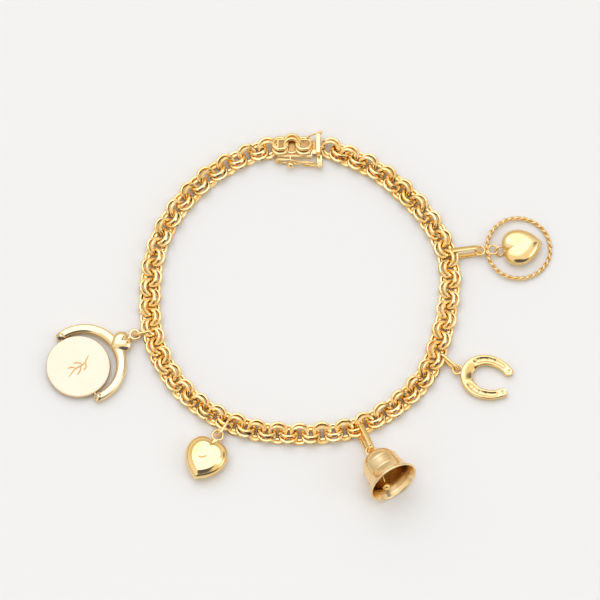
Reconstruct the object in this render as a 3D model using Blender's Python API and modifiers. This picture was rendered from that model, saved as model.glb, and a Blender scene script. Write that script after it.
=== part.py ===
"""Charm bracelet lying flat: a double round-link chain, a box clasp with a safety latch, five charms.

Built about the middle of the loop on the table's surface, then shifted so that the origin is
the middle of the whole bracelet's footprint. +X is to the right, +Y away, +Z up.
"""
import math

import bmesh
import bpy
from mathutils import Matrix, Vector
from mathutils.geometry import interpolate_bezier

MM = 0.001

# Chain: its outer form, from the clasp's box round to the clasp's end plate
CHAIN_WIDTH = 4.6 * MM
CHAIN_HEIGHT = 2.45 * MM
CHAIN_SAMPLES = 64
CHAIN_STRAIGHT = 1.6 * MM
CHAIN_ROUTE = [  # x, y in millimetres along the middle of the chain
    (-10.1, 28.6), (-14.7, 26.3), (-19.0, 23.2), (-22.7, 19.5), (-25.8, 15.2), (-28.1, 10.4),
    (-29.5, 5.1), (-30.0, -0.4), (-29.9, -5.9), (-28.9, -11.3), (-26.6, -16.5), (-23.4, -21.0),
    (-19.4, -24.7), (-14.9, -27.4), (-10.0, -29.2), (-5.0, -30.1), (0.0, -30.3), (5.1, -30.1),
    (10.0, -29.2), (14.7, -27.2), (19.1, -24.3), (23.0, -20.7), (26.0, -16.2), (27.9, -11.1),
    (29.2, -5.8), (29.9, -0.4), (29.9, 5.2), (28.3, 10.4), (25.6, 15.1), (22.2, 19.2),
    (18.5, 22.8), (14.4, 25.9), (9.8, 28.1),
]

# Gaps between pieces that touch
SEAT_GAP = 0.3 * MM
LINK_CLEARANCE = 0.22 * MM
FLOOR_CLEARANCE = 0.02 * MM

# Soldered pieces run into each other by this much, and a stem is thicker than its eye's wire
SOLDER_DEPTH = 0.1 * MM
STEM_SHARE = 1.4
EYE_POINTS = 18

# Clasp: box, end plate, spring leaf, knob, pivot and latch
CLASP_Y = 29.8 * MM
BOX_WEST = -4.6 * MM
BOX_LENGTH = 7.5 * MM
BOX_WIDTH = 3.8 * MM
BOX_HEIGHT = 1.75 * MM
BOX_WALL = 0.4 * MM
BOX_EDGE = 0.12 * MM
DRESS_RING_RADIUS = 1.6 * MM
DRESS_WIRE = 0.6 * MM
DRESS_LEAN = 0.5 * MM
DRESS_SUNK = 0.3
DRESS_RINGS = [  # share of the box's length to its middle, side it bows to, degrees before and after
    (0.07, -1.0, 12.0, 84.0),
    (0.40, 1.0, 84.0, 84.0),
    (0.73, -1.0, 84.0, 80.0),
]
WINDOW_LENGTH = 1.3 * MM
WINDOW_WIDTH = 1.5 * MM
PLATE_THICKNESS = 0.92 * MM
PLATE_LENGTH = 4.7 * MM
PLATE_HEIGHT = 2.6 * MM
PLATE_SHIFT = 0.3 * MM
LEAF_LENGTH = 5.6 * MM
KNOB_ALONG = 0.353
KNOB_DIAMETER = 1.4 * MM
KNOB_POST = 0.5 * MM
KNOB_REACH = 1.5 * MM
PIVOT_INSET = 0.18 * MM
PIVOT_REACH = 1.7 * MM
PIVOT_DIAMETER = 1.16 * MM
PIVOT_PIN = 0.5 * MM
PIVOT_HEIGHT = 1.2 * MM
PIVOT_ARM = 0.3 * MM
PIVOT_CLEARANCE = 0.1 * MM
LATCH_WIRE = 0.5 * MM
LATCH_TIP = 0.56 * MM
LATCH_HEIGHT = 2.6 * MM
LATCH_WAIST = 0.75 * MM
LATCH_WAIST_BEFORE_KNOB = 2.0 * MM
LATCH_TURN = 6.5
LATCH_FIRST_LOOP = 0.8
TIP_ARM_WIRE = 0.4 * MM
TIP_ARM_START = (-1.6 * MM, 0.7 * MM, 0.0)
TIP_ARM_KNEE = (-0.6 * MM, 0.75 * MM, 0.3 * MM)
TIP_ARM_END = 0.35 * MM
TIP_BALL = 0.75 * MM
LUG_RADIUS = 0.75 * MM
LUG_WIRE = 0.5 * MM
LUG_HALF_ARC = 98.0

# Spinner: eye at the frame's origin, disc along +X
SPINNER_EYE = (-33.0 * MM, -9.5 * MM)
SPINNER_HEADING = 211.0
DISC_DIAMETER = 12.7 * MM
DISC_THICKNESS = 0.75 * MM
DISC_RIM = 0.08 * MM
DISC_SIDES = 52
DISC_CLEARANCE = 0.2 * MM
DISC_PIN = 0.5 * MM
DISC_PIN_REACH = 0.6 * MM
DISC_REACH = 13.1 * MM
YOKE_WIRE = 1.8 * MM
YOKE_OFFSET = 1.45 * MM
YOKE_CAP = 1.5 * MM
YOKE_CAP_LENGTH = 1.3 * MM
YOKE_HEART_WIDTH = 3.5 * MM
YOKE_HEART_LENGTH = 3.1 * MM
YOKE_HEART_THICKNESS = 2.1 * MM
SPINNER_EYE_RADIUS = 0.92 * MM
SPINNER_EYE_WIRE = 0.5 * MM

# Flat-faced heart
HEART_EYE = (-16.4 * MM, -30.75 * MM)
HEART_HEADING = 244.6
HEART_WIDTH = 8.0 * MM
HEART_LENGTH = 8.55 * MM
HEART_THICKNESS = 3.2 * MM
HEART_FACE = 0.74
HEART_EYE_RADIUS = 1.05 * MM
HEART_EYE_WIRE = 0.58 * MM

# Bell: its frame's origin is the middle of its mouth, +Z to its crown
BELL_MOUTH = (18.5 * MM, -41.4 * MM)
BELL_HEADING = -58.0
BELL_HEIGHT = 7.9 * MM
BELL_RADIUS = 4.95 * MM
BELL_WALL = 0.5 * MM
BELL_SIDE = [  # share of the height from the mouth, share of the mouth's radius
    (0.985, 0.20), (0.945, 0.42), (0.87, 0.575), (0.775, 0.665), (0.66, 0.722), (0.645, 0.74),
    (0.55, 0.757), (0.41, 0.778), (0.28, 0.81), (0.165, 0.87), (0.09, 0.945), (0.045, 1.0),
    (0.0, 0.985),
]
BELL_EYE_RADIUS = 0.93 * MM
BELL_EYE_WIRE = 0.52 * MM
BELL_STEPS = 30
BELL_HOLLOW_TOP = 0.9
CLAPPER_PIVOT = 6.0 * MM
CLAPPER_BAR = 0.5 * MM
CLAPPER_EYE_WIRE = 0.42 * MM
CLAPPER_ROD = 0.45 * MM
CLAPPER_BALL = 1.75 * MM
CLAPPER_LENGTH = 5.3 * MM
CLAPPER_SWING = 206.0
CLAPPER_CLEARANCE = 0.15 * MM
CLAPPER_ABOUT = 30.0

# Horseshoe: eye at the frame's origin, open end along +X
SHOE_EYE = (31.4 * MM, -16.8 * MM)
SHOE_HEADING = -15.3
SHOE_BAND_TOE = 2.1 * MM
SHOE_BAND_HEEL = 1.3 * MM
SHOE_THICKNESS = 1.3 * MM
SHOE_TOE_REACH = 4.0 * MM
SHOE_HEEL_REACH = 5.05 * MM
SHOE_HALF_SPREAD = 3.55 * MM
SHOE_GROOVE = 0.32 * MM
SHOE_SECTIONS = 33
SHOE_HEEL_ANGLE = 28.6
SHOE_EYE_RADIUS = 0.9 * MM
SHOE_EYE_WIRE = 0.5 * MM
SHOE_LIFT = 0.35 * MM

# Rope hoop with a small puffed heart inside: soldered eye at the frame's origin, hoop along +X
HOOP_EYE = (36.05 * MM, 8.2 * MM)
HOOP_HEADING = 4.3
HOOP_DIAMETER = 13.4 * MM
HOOP_ROPE = 0.68 * MM
HOOP_TWISTS = 19
HOOP_STEPS = 6
HOOP_EYE_RADIUS = 0.92 * MM
HOOP_EYE_WIRE = 0.46 * MM
HOOP_LIFT = 0.75 * MM
INNER_EYE_RADIUS = 0.95 * MM
INNER_EYE_WIRE = 0.42 * MM
SMALL_HEART_HEADING = 6.0
SMALL_HEART_WIDTH = 7.4 * MM
SMALL_HEART_LENGTH = 6.75 * MM
SMALL_HEART_THICKNESS = 3.0 * MM
SMALL_HEART_EYE_RADIUS = 0.92 * MM
SMALL_HEART_EYE_WIRE = 0.46 * MM
SMALL_HEART_EYE_LEAN = 42.0

# Connectors: where each passes through the chain, its width, its wire and how far it leans
RING_WIRE = 0.6 * MM
RING_WIDTH = 1.85 * MM
RING_LEAN = 72.0
BAIL_STRAP = 0.8 * MM
BAIL_THICKNESS = 0.42 * MM
BAIL_WIDTH = 1.95 * MM
BAIL_LEAN = 62.0
SHOE_BAIL_LEAN = 66.0
SPINNER_HOLD = (-29.5 * MM, -8.7 * MM)
HEART_HOLD = (-14.3 * MM, -27.4 * MM)
BELL_HOLD = (11.5 * MM, -28.4 * MM)
SHOE_HOLD = (28.0 * MM, -13.8 * MM)
HOOP_HOLD = (30.1 * MM, 7.4 * MM)

GOLD = (0.93, 0.68, 0.28, 1.0)
PALE_GOLD = (0.96, 0.78, 0.42, 1.0)
DEEP_GOLD = (0.85, 0.58, 0.20, 1.0)

HEART_STATIONS = [  # handle, point, handle as shares: along the length, across the width
    ((0.0, 0.0), (0.0, 0.0), (-0.9, 0.03)),
    ((-1.0, 0.12), (-1.0, 0.25), (-1.0, 0.40)),
    ((-0.05, 0.5), (0.25, 0.5), (0.50, 0.5)),
    ((0.82, 0.22), (1.0, 0.0), (1.0, 0.0)),
]
HEART_CLEFT = 0.085


for old in list(bpy.data.objects):
    bpy.data.objects.remove(old, do_unlink=True)

parts = bpy.data.collections.new("charm_bracelet")
tools = bpy.data.collections.new("cutters")
for made in (parts, tools):
    bpy.context.scene.collection.children.link(made)


def gold(name, colour, roughness):
    """A polished gold of the given colour."""
    material = bpy.data.materials.new(name)
    material.use_nodes = True
    shader = material.node_tree.nodes["Principled BSDF"]
    shader.inputs["Base Color"].default_value = colour
    shader.inputs["Metallic"].default_value = 1.0
    shader.inputs["Roughness"].default_value = roughness
    return material


def frame(name, x, y, heading=0.0, parent=None):
    """An empty on the table at x, y, turned by heading degrees about +Z."""
    empty = bpy.data.objects.new(name, None)
    empty.location = (x, y, 0.0)
    empty.rotation_euler = (0.0, 0.0, math.radians(heading))
    empty.parent = parent
    parts.objects.link(empty)
    return empty


def place(mesh, name, parent, material=None, location=(0.0, 0.0, 0.0), turn=(0.0, 0.0, 0.0)):
    """Link a mesh as a named piece, or as a hidden tool where it has no material."""
    piece = bpy.data.objects.new(name, mesh)
    piece.parent = parent
    piece.location = location
    piece.rotation_euler = turn
    if material is None:
        tools.objects.link(piece)
        piece.hide_render = True
        piece.display_type = "WIRE"
    else:
        mesh.materials.clear()
        mesh.materials.append(material)
        mesh.shade_smooth()
        mesh.set_sharp_from_angle(angle=math.radians(35))
        parts.objects.link(piece)
    return piece


def mesh_of(build):
    """A new mesh from a function that fills a bmesh."""
    bm = bmesh.new()
    build(bm)
    mesh = bpy.data.meshes.new("shape")
    bm.to_mesh(mesh)
    bm.free()
    return mesh


def box(size, centre):
    """A box of the given size about the given centre."""
    def build(bm):
        bmesh.ops.create_cube(bm, size=1.0)
        bmesh.ops.scale(bm, vec=size, verts=bm.verts)
        bmesh.ops.translate(bm, vec=centre, verts=bm.verts)
    return mesh_of(build)


def ball(diameter, centre, segments=14):
    """A ball of the given diameter about the given centre."""
    def build(bm):
        bmesh.ops.create_uvsphere(bm, u_segments=segments, v_segments=segments // 2 + 2, radius=diameter / 2)
        bmesh.ops.translate(bm, vec=centre, verts=bm.verts)
    return mesh_of(build)


def rod(diameter, start, end, sides=12):
    """A straight round rod between two points."""
    start = Vector(start)
    run = Vector(end) - start

    def build(bm):
        bmesh.ops.create_cone(bm, cap_ends=True, segments=sides, radius1=diameter / 2,
                              radius2=diameter / 2, depth=run.length)
        turn = run.to_track_quat("Z", "Y").to_matrix().to_4x4()
        bmesh.ops.transform(bm, matrix=Matrix.Translation(start + run / 2) @ turn, verts=bm.verts)
    return mesh_of(build)


def wire(points, diameter, closed=True, strap=0.0, resolution=1):
    """A wire along the points. A strap stands wider than it is thick along the curve's own Z."""
    curve = bpy.data.curves.new("wire", "CURVE")
    curve.dimensions = "3D"
    curve.bevel_depth = diameter / 2
    curve.bevel_resolution = resolution
    curve.extrude = max(strap - diameter, 0.0) / 2
    curve.use_fill_caps = True
    spline = curve.splines.new("POLY")
    spline.points.add(len(points) - 1)
    for index, point in enumerate(points):
        spline.points[index].co = (*point, 1.0)
    spline.use_cyclic_u = closed
    holder = bpy.data.objects.new("wire", curve)
    bpy.context.scene.collection.objects.link(holder)
    depsgraph = bpy.context.evaluated_depsgraph_get()
    mesh = bpy.data.meshes.new_from_object(holder.evaluated_get(depsgraph))
    bpy.data.objects.remove(holder, do_unlink=True)
    bpy.data.curves.remove(curve)
    bm = bmesh.new()
    bm.from_mesh(mesh)
    bmesh.ops.remove_doubles(bm, verts=bm.verts, dist=0.001 * MM)
    bmesh.ops.recalc_face_normals(bm, faces=bm.faces)
    bm.to_mesh(mesh)
    bm.free()
    return mesh


def arc(radius, first=0.0, last=360.0, count=24, centre=(0.0, 0.0, 0.0)):
    """Points on an arc in the XY plane. A whole circle leaves its last point out."""
    steps = count if last - first >= 360.0 else count - 1
    angles = [math.radians(first + (last - first) * k / steps) for k in range(count)]
    cx, cy, cz = centre
    return [Vector((cx + radius * math.cos(a), cy + radius * math.sin(a), cz)) for a in angles]


def stadium(length, width, count=8):
    """A stretched ring in the XY plane: two half rings of the given width, length apart overall."""
    radius = width / 2
    half = max(length / 2 - radius, 0.0)
    right = [p + Vector((half, 0.0, 0.0)) for p in arc(radius, -90.0, 90.0, count)]
    left = [p - Vector((half, 0.0, 0.0)) for p in arc(radius, 90.0, 270.0, count)]
    return right + left


def loft(rings, closed=False):
    """Quads between rings of points, with a cap on each end unless the rings join up."""
    def build(bm):
        layers = [[bm.verts.new(point) for point in ring] for ring in rings]
        count = len(layers[0])
        pairs = list(zip(layers, layers[1:]))
        if closed:
            pairs.append((layers[-1], layers[0]))
        for lower, upper in pairs:
            for k in range(count):
                after = (k + 1) % count
                bm.faces.new((lower[k], lower[after], upper[after], upper[k]))
        if not closed:
            bm.faces.new(list(reversed(layers[0])))
            bm.faces.new(layers[-1])
        bmesh.ops.recalc_face_normals(bm, faces=bm.faces)
    return mesh_of(build)


def heart_outline(width, length, steps=7):
    """A heart's outline from its cleft at the origin round to its tip at +X."""
    side = []
    for (_, start, leave), (arrive, end, _) in zip(HEART_STATIONS, HEART_STATIONS[1:]):
        corners = [Vector((u * length * (HEART_CLEFT if u < 0 else 1.0), v * width, 0.0))
                   for u, v in (start, leave, arrive, end)]
        side += interpolate_bezier(*corners, steps)[:-1]
    side.append(Vector((length, 0.0, 0.0)))
    other = [Vector((p.x, -p.y, 0.0)) for p in reversed(side[1:-1])]
    return side + other


def puffed_heart(width, length, profile):
    """A heart built up in level sections: each is the outline drawn in to a share of its size."""
    outline = heart_outline(width, length)
    middle = Vector((length * 0.40, 0.0, 0.0))
    rings = []
    for height, share in profile:
        rings.append([middle + (p - middle) * share + Vector((0.0, 0.0, height)) for p in outline])
    return loft(rings)


def combine(piece, operation, others):
    """Join or cut a piece with hidden tools by exact Booleans."""
    for other in others:
        step = piece.modifiers.new(other.name, "BOOLEAN")
        step.operation = operation
        step.solver = "EXACT"
        step.object = other
    return piece


def smooth_route(points, count):
    """Points evenly spaced by length along a smooth curve through the given ones."""
    fine = []
    last = len(points) - 1
    for k in range(last):
        before = points[max(k - 1, 0)]
        after = points[min(k + 2, last)]
        first = points[k] + (points[k + 1] - before) / 6
        second = points[k + 1] - (after - points[k]) / 6
        fine += interpolate_bezier(points[k], first, second, points[k + 1], 13)[:-1]
    fine.append(points[-1])
    reach = [0.0]
    for here, there in zip(fine, fine[1:]):
        reach.append(reach[-1] + (there - here).length)
    even = []
    at = 0
    for k in range(count):
        target = reach[-1] * k / (count - 1)
        while at < len(reach) - 2 and reach[at + 1] < target:
            at += 1
        share = (target - reach[at]) / (reach[at + 1] - reach[at])
        even.append(fine[at].lerp(fine[at + 1], share))
    return even


polished = gold("polished_gold", GOLD, 0.16)
satin = gold("disc_gold", PALE_GOLD, 0.24)
cast = gold("cast_gold", DEEP_GOLD, 0.2)

root = frame("bracelet_root", 0.0, 0.0)
clasp_frame = frame("clasp_frame", 0.0, CLASP_Y, parent=root)
spinner_frame = frame("spinner_frame", *SPINNER_EYE, SPINNER_HEADING, root)
heart_frame = frame("heart_frame", *HEART_EYE, HEART_HEADING, root)
shoe_frame = frame("horseshoe_frame", *SHOE_EYE, SHOE_HEADING, root)
hoop_frame = frame("hoop_frame", *HOOP_EYE, HOOP_HEADING, root)


# Heights above the table that several pieces share
chain_middle = CHAIN_HEIGHT / 2
spinner_middle = max(YOKE_WIRE, YOKE_HEART_THICKNESS, YOKE_CAP) / 2 + FLOOR_CLEARANCE
heart_middle = HEART_THICKNESS / 2 + FLOOR_CLEARANCE
shoe_middle = SHOE_THICKNESS / 2 + FLOOR_CLEARANCE
hoop_middle = HOOP_ROPE / 2 + FLOOR_CLEARANCE
small_heart_middle = SMALL_HEART_THICKNESS / 2 + FLOOR_CLEARANCE
latch_middle = LATCH_HEIGHT / 2 + FLOOR_CLEARANCE
box_east = BOX_WEST + BOX_LENGTH
plate_west = box_east + SEAT_GAP
plate_east = plate_west + PLATE_THICKNESS
pivot_x = plate_east - PIVOT_INSET
knob_x = BOX_WEST + KNOB_ALONG * BOX_LENGTH
latch_length = pivot_x - BOX_WEST + LATCH_TIP
latch_waist_at = pivot_x - knob_x - LATCH_WAIST_BEFORE_KNOB


def bell_outer():
    """The bell's outer side from its crown on the axis down to its mouth, as radius and height."""
    side = [(share * BELL_RADIUS, height * BELL_HEIGHT) for height, share in BELL_SIDE]
    return [(0.0, BELL_HEIGHT)] + side


def bell_inner():
    """The bell's hollow, one wall inside its outer side, from the mouth up to the axis."""
    side = [(share * BELL_RADIUS - BELL_WALL, height * BELL_HEIGHT) for height, share in BELL_SIDE]
    inner = [point for point in reversed(side) if point[1] < BELL_HEIGHT * BELL_HOLLOW_TOP - BELL_WALL / 2]
    inner.append((inner[-1][0] / 2, BELL_HEIGHT * (1.0 + BELL_HOLLOW_TOP) / 2 - BELL_WALL))
    inner.append((0.0, BELL_HEIGHT - BELL_WALL))
    return inner


def bell_radius_at(height, profile):
    """The profile's radius at a height, by straight lines between its points."""
    ordered = sorted((h, r) for r, h in profile)
    for (low, near), (high, far) in zip(ordered, ordered[1:]):
        if low <= height <= high and high > low:
            return near + (far - near) * (height - low) / (high - low)
    return 0.0


# Two charms lie with their eye lifted off the table by the ring that passes under it
shoe_reach = (SHOE_EYE_RADIUS + SHOE_BAND_TOE / 2 + SHOE_TOE_REACH
              + SHOE_HEEL_REACH * math.cos(math.radians(SHOE_HEEL_ANGLE)) + SHOE_BAND_HEEL / 2)
hoop_reach = HOOP_EYE_RADIUS + HOOP_DIAMETER
for holder, lift, reach in ((shoe_frame, SHOE_LIFT, shoe_reach), (hoop_frame, HOOP_LIFT, hoop_reach)):
    holder.location.z = lift
    holder.rotation_euler.y = math.asin(lift / reach)

# The bell lies on its lip and on its shoulder: the least slope from the lip to the rest of its side
lip_radius, lip_height = max(bell_outer())
bell_tilt = min(math.atan2(lip_radius - radius, height - lip_height)
                for radius, height in bell_outer() if height > 2 * lip_height)
bell_rise = max(height * math.sin(bell_tilt) + radius * math.cos(bell_tilt)
                for radius, height in bell_outer()) + FLOOR_CLEARANCE

bell_eye_height = BELL_HEIGHT + BELL_EYE_RADIUS - BELL_EYE_WIRE / 4
bell_frame = frame("bell_frame", *BELL_MOUTH, BELL_HEADING, root)
bell_frame.location.z = bell_rise
bell_frame.rotation_euler = (0.0, -(math.pi / 2 + bell_tilt), math.radians(BELL_HEADING))
bpy.context.view_layer.update()


def connector(name, hold, eye, width, diameter, strap, lean):
    """A stretched ring from a point inside the chain to the middle of a charm's eye.

    Its long way runs from one to the other, and its plane leans by the given degrees. It comes
    with a cutter, fatter by the clearance, that opens the chain where the ring passes through.
    """
    start = Vector((*hold, chain_middle))
    end = Vector(eye)
    lowest = width / 2 * math.sin(math.radians(abs(lean))) + max(strap, diameter) / 2 + FLOOR_CLEARANCE
    start.z = max(start.z, lowest)
    end.z = max(end.z, lowest)
    run = end - start
    heading = math.atan2(run.y, run.x)
    pitch = -math.atan2(run.z, math.hypot(run.x, run.y))
    turn = (Matrix.Rotation(heading, 3, "Z") @ Matrix.Rotation(pitch, 3, "Y")
            @ Matrix.Rotation(math.radians(lean), 3, "X")).to_euler()
    points = stadium(run.length, width)
    middle = (start + end) / 2
    piece = place(wire(points, diameter, strap=strap), name, root, polished, middle, turn)
    fat_strap = strap + 2 * LINK_CLEARANCE if strap > diameter else 0.0
    fat = wire(points, diameter + 2 * LINK_CLEARANCE, strap=fat_strap)
    cutter = place(fat, name + "_way", root, None, middle, turn)
    return piece, cutter


def spinner():
    """A disc that turns on two pins in a half-ring yoke, with a creased heart and an eye on top."""
    half_span = DISC_DIAMETER / 2 + DISC_CLEARANCE + YOKE_WIRE / 2
    radius = math.hypot(YOKE_OFFSET, half_span)
    end_angle = math.degrees(math.atan2(half_span, YOKE_OFFSET))
    centre = (DISC_REACH - YOKE_OFFSET, 0.0, spinner_middle)
    curve = arc(radius, end_angle, 360.0 - end_angle, 25, centre)
    yoke = place(wire(curve, YOKE_WIRE, closed=False, resolution=3), "spinner_yoke", spinner_frame, polished)
    additions = []
    holes = []
    for side in (-1.0, 1.0):
        middle = (DISC_REACH, side * half_span, spinner_middle)
        cap = box((YOKE_CAP_LENGTH, YOKE_CAP, YOKE_CAP), middle)
        additions.append(place(cap, "yoke_cap", spinner_frame))
        inner = side * (half_span - YOKE_WIRE)
        outer = side * (DISC_DIAMETER / 2 + DISC_CLEARANCE + DISC_PIN_REACH + SEAT_GAP)
        hole = rod(DISC_PIN + 2 * PIVOT_CLEARANCE, (DISC_REACH, inner, spinner_middle),
                   (DISC_REACH, outer, spinner_middle))
        holes.append(place(hole, "pin_hole", spinner_frame))
    tip = DISC_REACH - YOKE_OFFSET - radius + YOKE_WIRE / 2
    cleft = tip - YOKE_HEART_LENGTH
    half = YOKE_HEART_THICKNESS / 2
    layers = [(-half, 0.72), (-half * 0.72, 1.0), (half * 0.5, 1.0), (half, 0.68)]
    small_heart = puffed_heart(YOKE_HEART_WIDTH, YOKE_HEART_LENGTH, layers)
    additions.append(place(small_heart, "yoke_heart", spinner_frame, None, (cleft, 0.0, spinner_middle)))
    stem = rod(SPINNER_EYE_WIRE * STEM_SHARE, (SPINNER_EYE_RADIUS, 0.0, spinner_middle),
               (cleft + YOKE_HEART_LENGTH / 3, 0.0, spinner_middle))
    additions.append(place(stem, "yoke_stem", spinner_frame))
    eye = wire(arc(SPINNER_EYE_RADIUS, count=EYE_POINTS), SPINNER_EYE_WIRE)
    additions.append(place(eye, "yoke_eye", spinner_frame, None, (0.0, 0.0, spinner_middle)))
    combine(yoke, "UNION", additions)
    combine(yoke, "DIFFERENCE", holes)

    pivot = frame("disc_pivot", DISC_REACH, 0.0, parent=spinner_frame)
    pivot.location.z = spinner_middle
    half_disc = Vector((0.0, 0.0, DISC_THICKNESS / 2))
    disc = place(rod(DISC_DIAMETER, -half_disc, half_disc, DISC_SIDES), "spinner_disc", pivot, satin)
    edge = disc.modifiers.new("rim", "BEVEL")
    edge.width = DISC_RIM
    edge.segments = 1
    reach = DISC_DIAMETER / 2 + DISC_CLEARANCE + DISC_PIN_REACH
    pins = place(rod(DISC_PIN, (0.0, -reach, 0.0), (0.0, reach, 0.0)), "disc_pins", pivot)
    combine(disc, "UNION", [pins])


def flat_faced_heart():
    """A hollow-looking puffed heart with a flat heart-shaped face, a broad bevel and an eye."""
    half = HEART_THICKNESS / 2
    rim = (1.0 + HEART_FACE) / 2
    layers = [(-half, HEART_FACE), (-half * 0.86, rim), (-half * 0.45, 0.975), (0.0, 1.0),
              (half * 0.45, 0.975), (half * 0.86, rim), (half, HEART_FACE)]
    body = puffed_heart(HEART_WIDTH, HEART_LENGTH, layers)
    cleft = HEART_EYE_RADIUS + HEART_EYE_WIRE / 2 + HEART_LENGTH * HEART_CLEFT / 2
    heart = place(body, "heart_charm", heart_frame, polished, (cleft, 0.0, heart_middle))
    eye = place(wire(arc(HEART_EYE_RADIUS, count=EYE_POINTS), HEART_EYE_WIRE), "heart_eye", heart_frame, None,
                (0.0, 0.0, heart_middle))
    stem = rod(HEART_EYE_WIRE * STEM_SHARE, (HEART_EYE_RADIUS, 0.0, heart_middle),
               (cleft + HEART_LENGTH / 6, 0.0, heart_middle))
    combine(heart, "UNION", [eye, place(stem, "heart_stem", heart_frame)])


def bell():
    """A turned bell with an eye on its crown, a cross bar inside and a clapper that swings on it."""
    profile = bell_outer() + bell_inner()
    curve = bpy.data.meshes.new("bell_profile")
    points = [(radius, 0.0, height) for radius, height in profile]
    curve.from_pydata(points, [(k, k + 1) for k in range(len(points) - 1)], [])
    body = place(curve, "bell", bell_frame, cast)
    turned = body.modifiers.new("turned", "SCREW")
    turned.steps = BELL_STEPS
    turned.render_steps = BELL_STEPS
    turned.use_merge_vertices = True
    turned.merge_threshold = 0.01 * MM
    eye = place(wire(arc(BELL_EYE_RADIUS, count=EYE_POINTS), BELL_EYE_WIRE), "bell_eye", bell_frame, None,
                (0.0, 0.0, bell_eye_height), (0.0, math.pi / 2, 0.0))
    swing = math.radians(CLAPPER_SWING)
    hold = (bell_radius_at(CLAPPER_PIVOT, bell_inner()) + BELL_WALL / 2)
    across = Vector((-math.sin(swing), math.cos(swing), 0.0)) * hold
    middle = Vector((0.0, 0.0, CLAPPER_PIVOT))
    bar = place(rod(CLAPPER_BAR, middle - across, middle + across), "bell_bar", bell_frame)
    combine(body, "UNION", [eye, bar])

    pivot = frame("clapper_pivot", 0.0, 0.0, CLAPPER_SWING, bell_frame)
    pivot.location.z = CLAPPER_PIVOT
    eye_radius = CLAPPER_BAR / 2 + PIVOT_CLEARANCE + CLAPPER_EYE_WIRE / 2
    resting = CLAPPER_PIVOT - CLAPPER_LENGTH * math.cos(math.radians(CLAPPER_ABOUT))
    room = bell_radius_at(resting, bell_inner()) - CLAPPER_BALL / 2 - CLAPPER_CLEARANCE
    lean = math.asin(room / CLAPPER_LENGTH)
    ring = wire(arc(eye_radius, count=14), CLAPPER_EYE_WIRE)
    ring.transform(Matrix.Rotation(math.pi / 2, 4, "X"))
    clapper = place(ring, "bell_clapper", pivot, polished, turn=(0.0, -lean, 0.0))
    stem = rod(CLAPPER_ROD, (0.0, 0.0, -eye_radius), (0.0, 0.0, -CLAPPER_LENGTH))
    weight = ball(CLAPPER_BALL, (0.0, 0.0, -CLAPPER_LENGTH))
    additions = [place(stem, "clapper_rod", pivot, turn=(0.0, -lean, 0.0)),
                 place(weight, "clapper_ball", pivot, turn=(0.0, -lean, 0.0))]
    combine(clapper, "UNION", additions)


def horseshoe():
    """A tapering band bent to a horseshoe, fullered along each branch, with an eye at its toe."""
    rings = []
    toe_gap = SHOE_EYE_RADIUS + SHOE_EYE_WIRE / 4
    middle_x = toe_gap + SHOE_BAND_TOE / 2 + SHOE_TOE_REACH
    half_height = SHOE_THICKNESS / 2
    for k in range(SHOE_SECTIONS):
        share = 2.0 * k / (SHOE_SECTIONS - 1) - 1.0
        angle = math.pi - share * (math.pi - math.radians(SHOE_HEEL_ANGLE))
        reach = SHOE_TOE_REACH if math.cos(angle) < 0 else SHOE_HEEL_REACH
        spot = Vector((middle_x + reach * math.cos(angle), SHOE_HALF_SPREAD * math.sin(angle), shoe_middle))
        along = Vector((-reach * math.sin(angle), SHOE_HALF_SPREAD * math.cos(angle), 0.0)).normalized()
        out = Vector((along.y, -along.x, 0.0))
        taper = abs(share) ** 1.3
        half_band = (SHOE_BAND_TOE + (SHOE_BAND_HEEL - SHOE_BAND_TOE) * taper) / 2
        fuller = SHOE_GROOVE * max(0.0, min(1.0, (abs(share) - 0.22) * 8.0, (0.88 - abs(share)) * 12.0))
        section = [(1.0, -0.35), (1.0, 0.35), (0.72, 0.92), (0.42, 1.0), (0.22, 1.0 - fuller / half_height),
                   (-0.22, 1.0 - fuller / half_height), (-0.42, 1.0), (-0.72, 0.92), (-1.0, 0.35),
                   (-1.0, -0.35), (-0.72, -0.92), (-0.3, -1.0), (0.3, -1.0), (0.72, -0.92)]
        rings.append([spot + out * (u * half_band) + Vector((0.0, 0.0, v * half_height)) for u, v in section])
    shoe = place(loft(rings), "horseshoe", shoe_frame, cast)
    eye = place(wire(arc(SHOE_EYE_RADIUS, count=EYE_POINTS), SHOE_EYE_WIRE), "shoe_eye", shoe_frame, None,
                (0.0, 0.0, shoe_middle))
    combine(shoe, "UNION", [eye])


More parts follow.
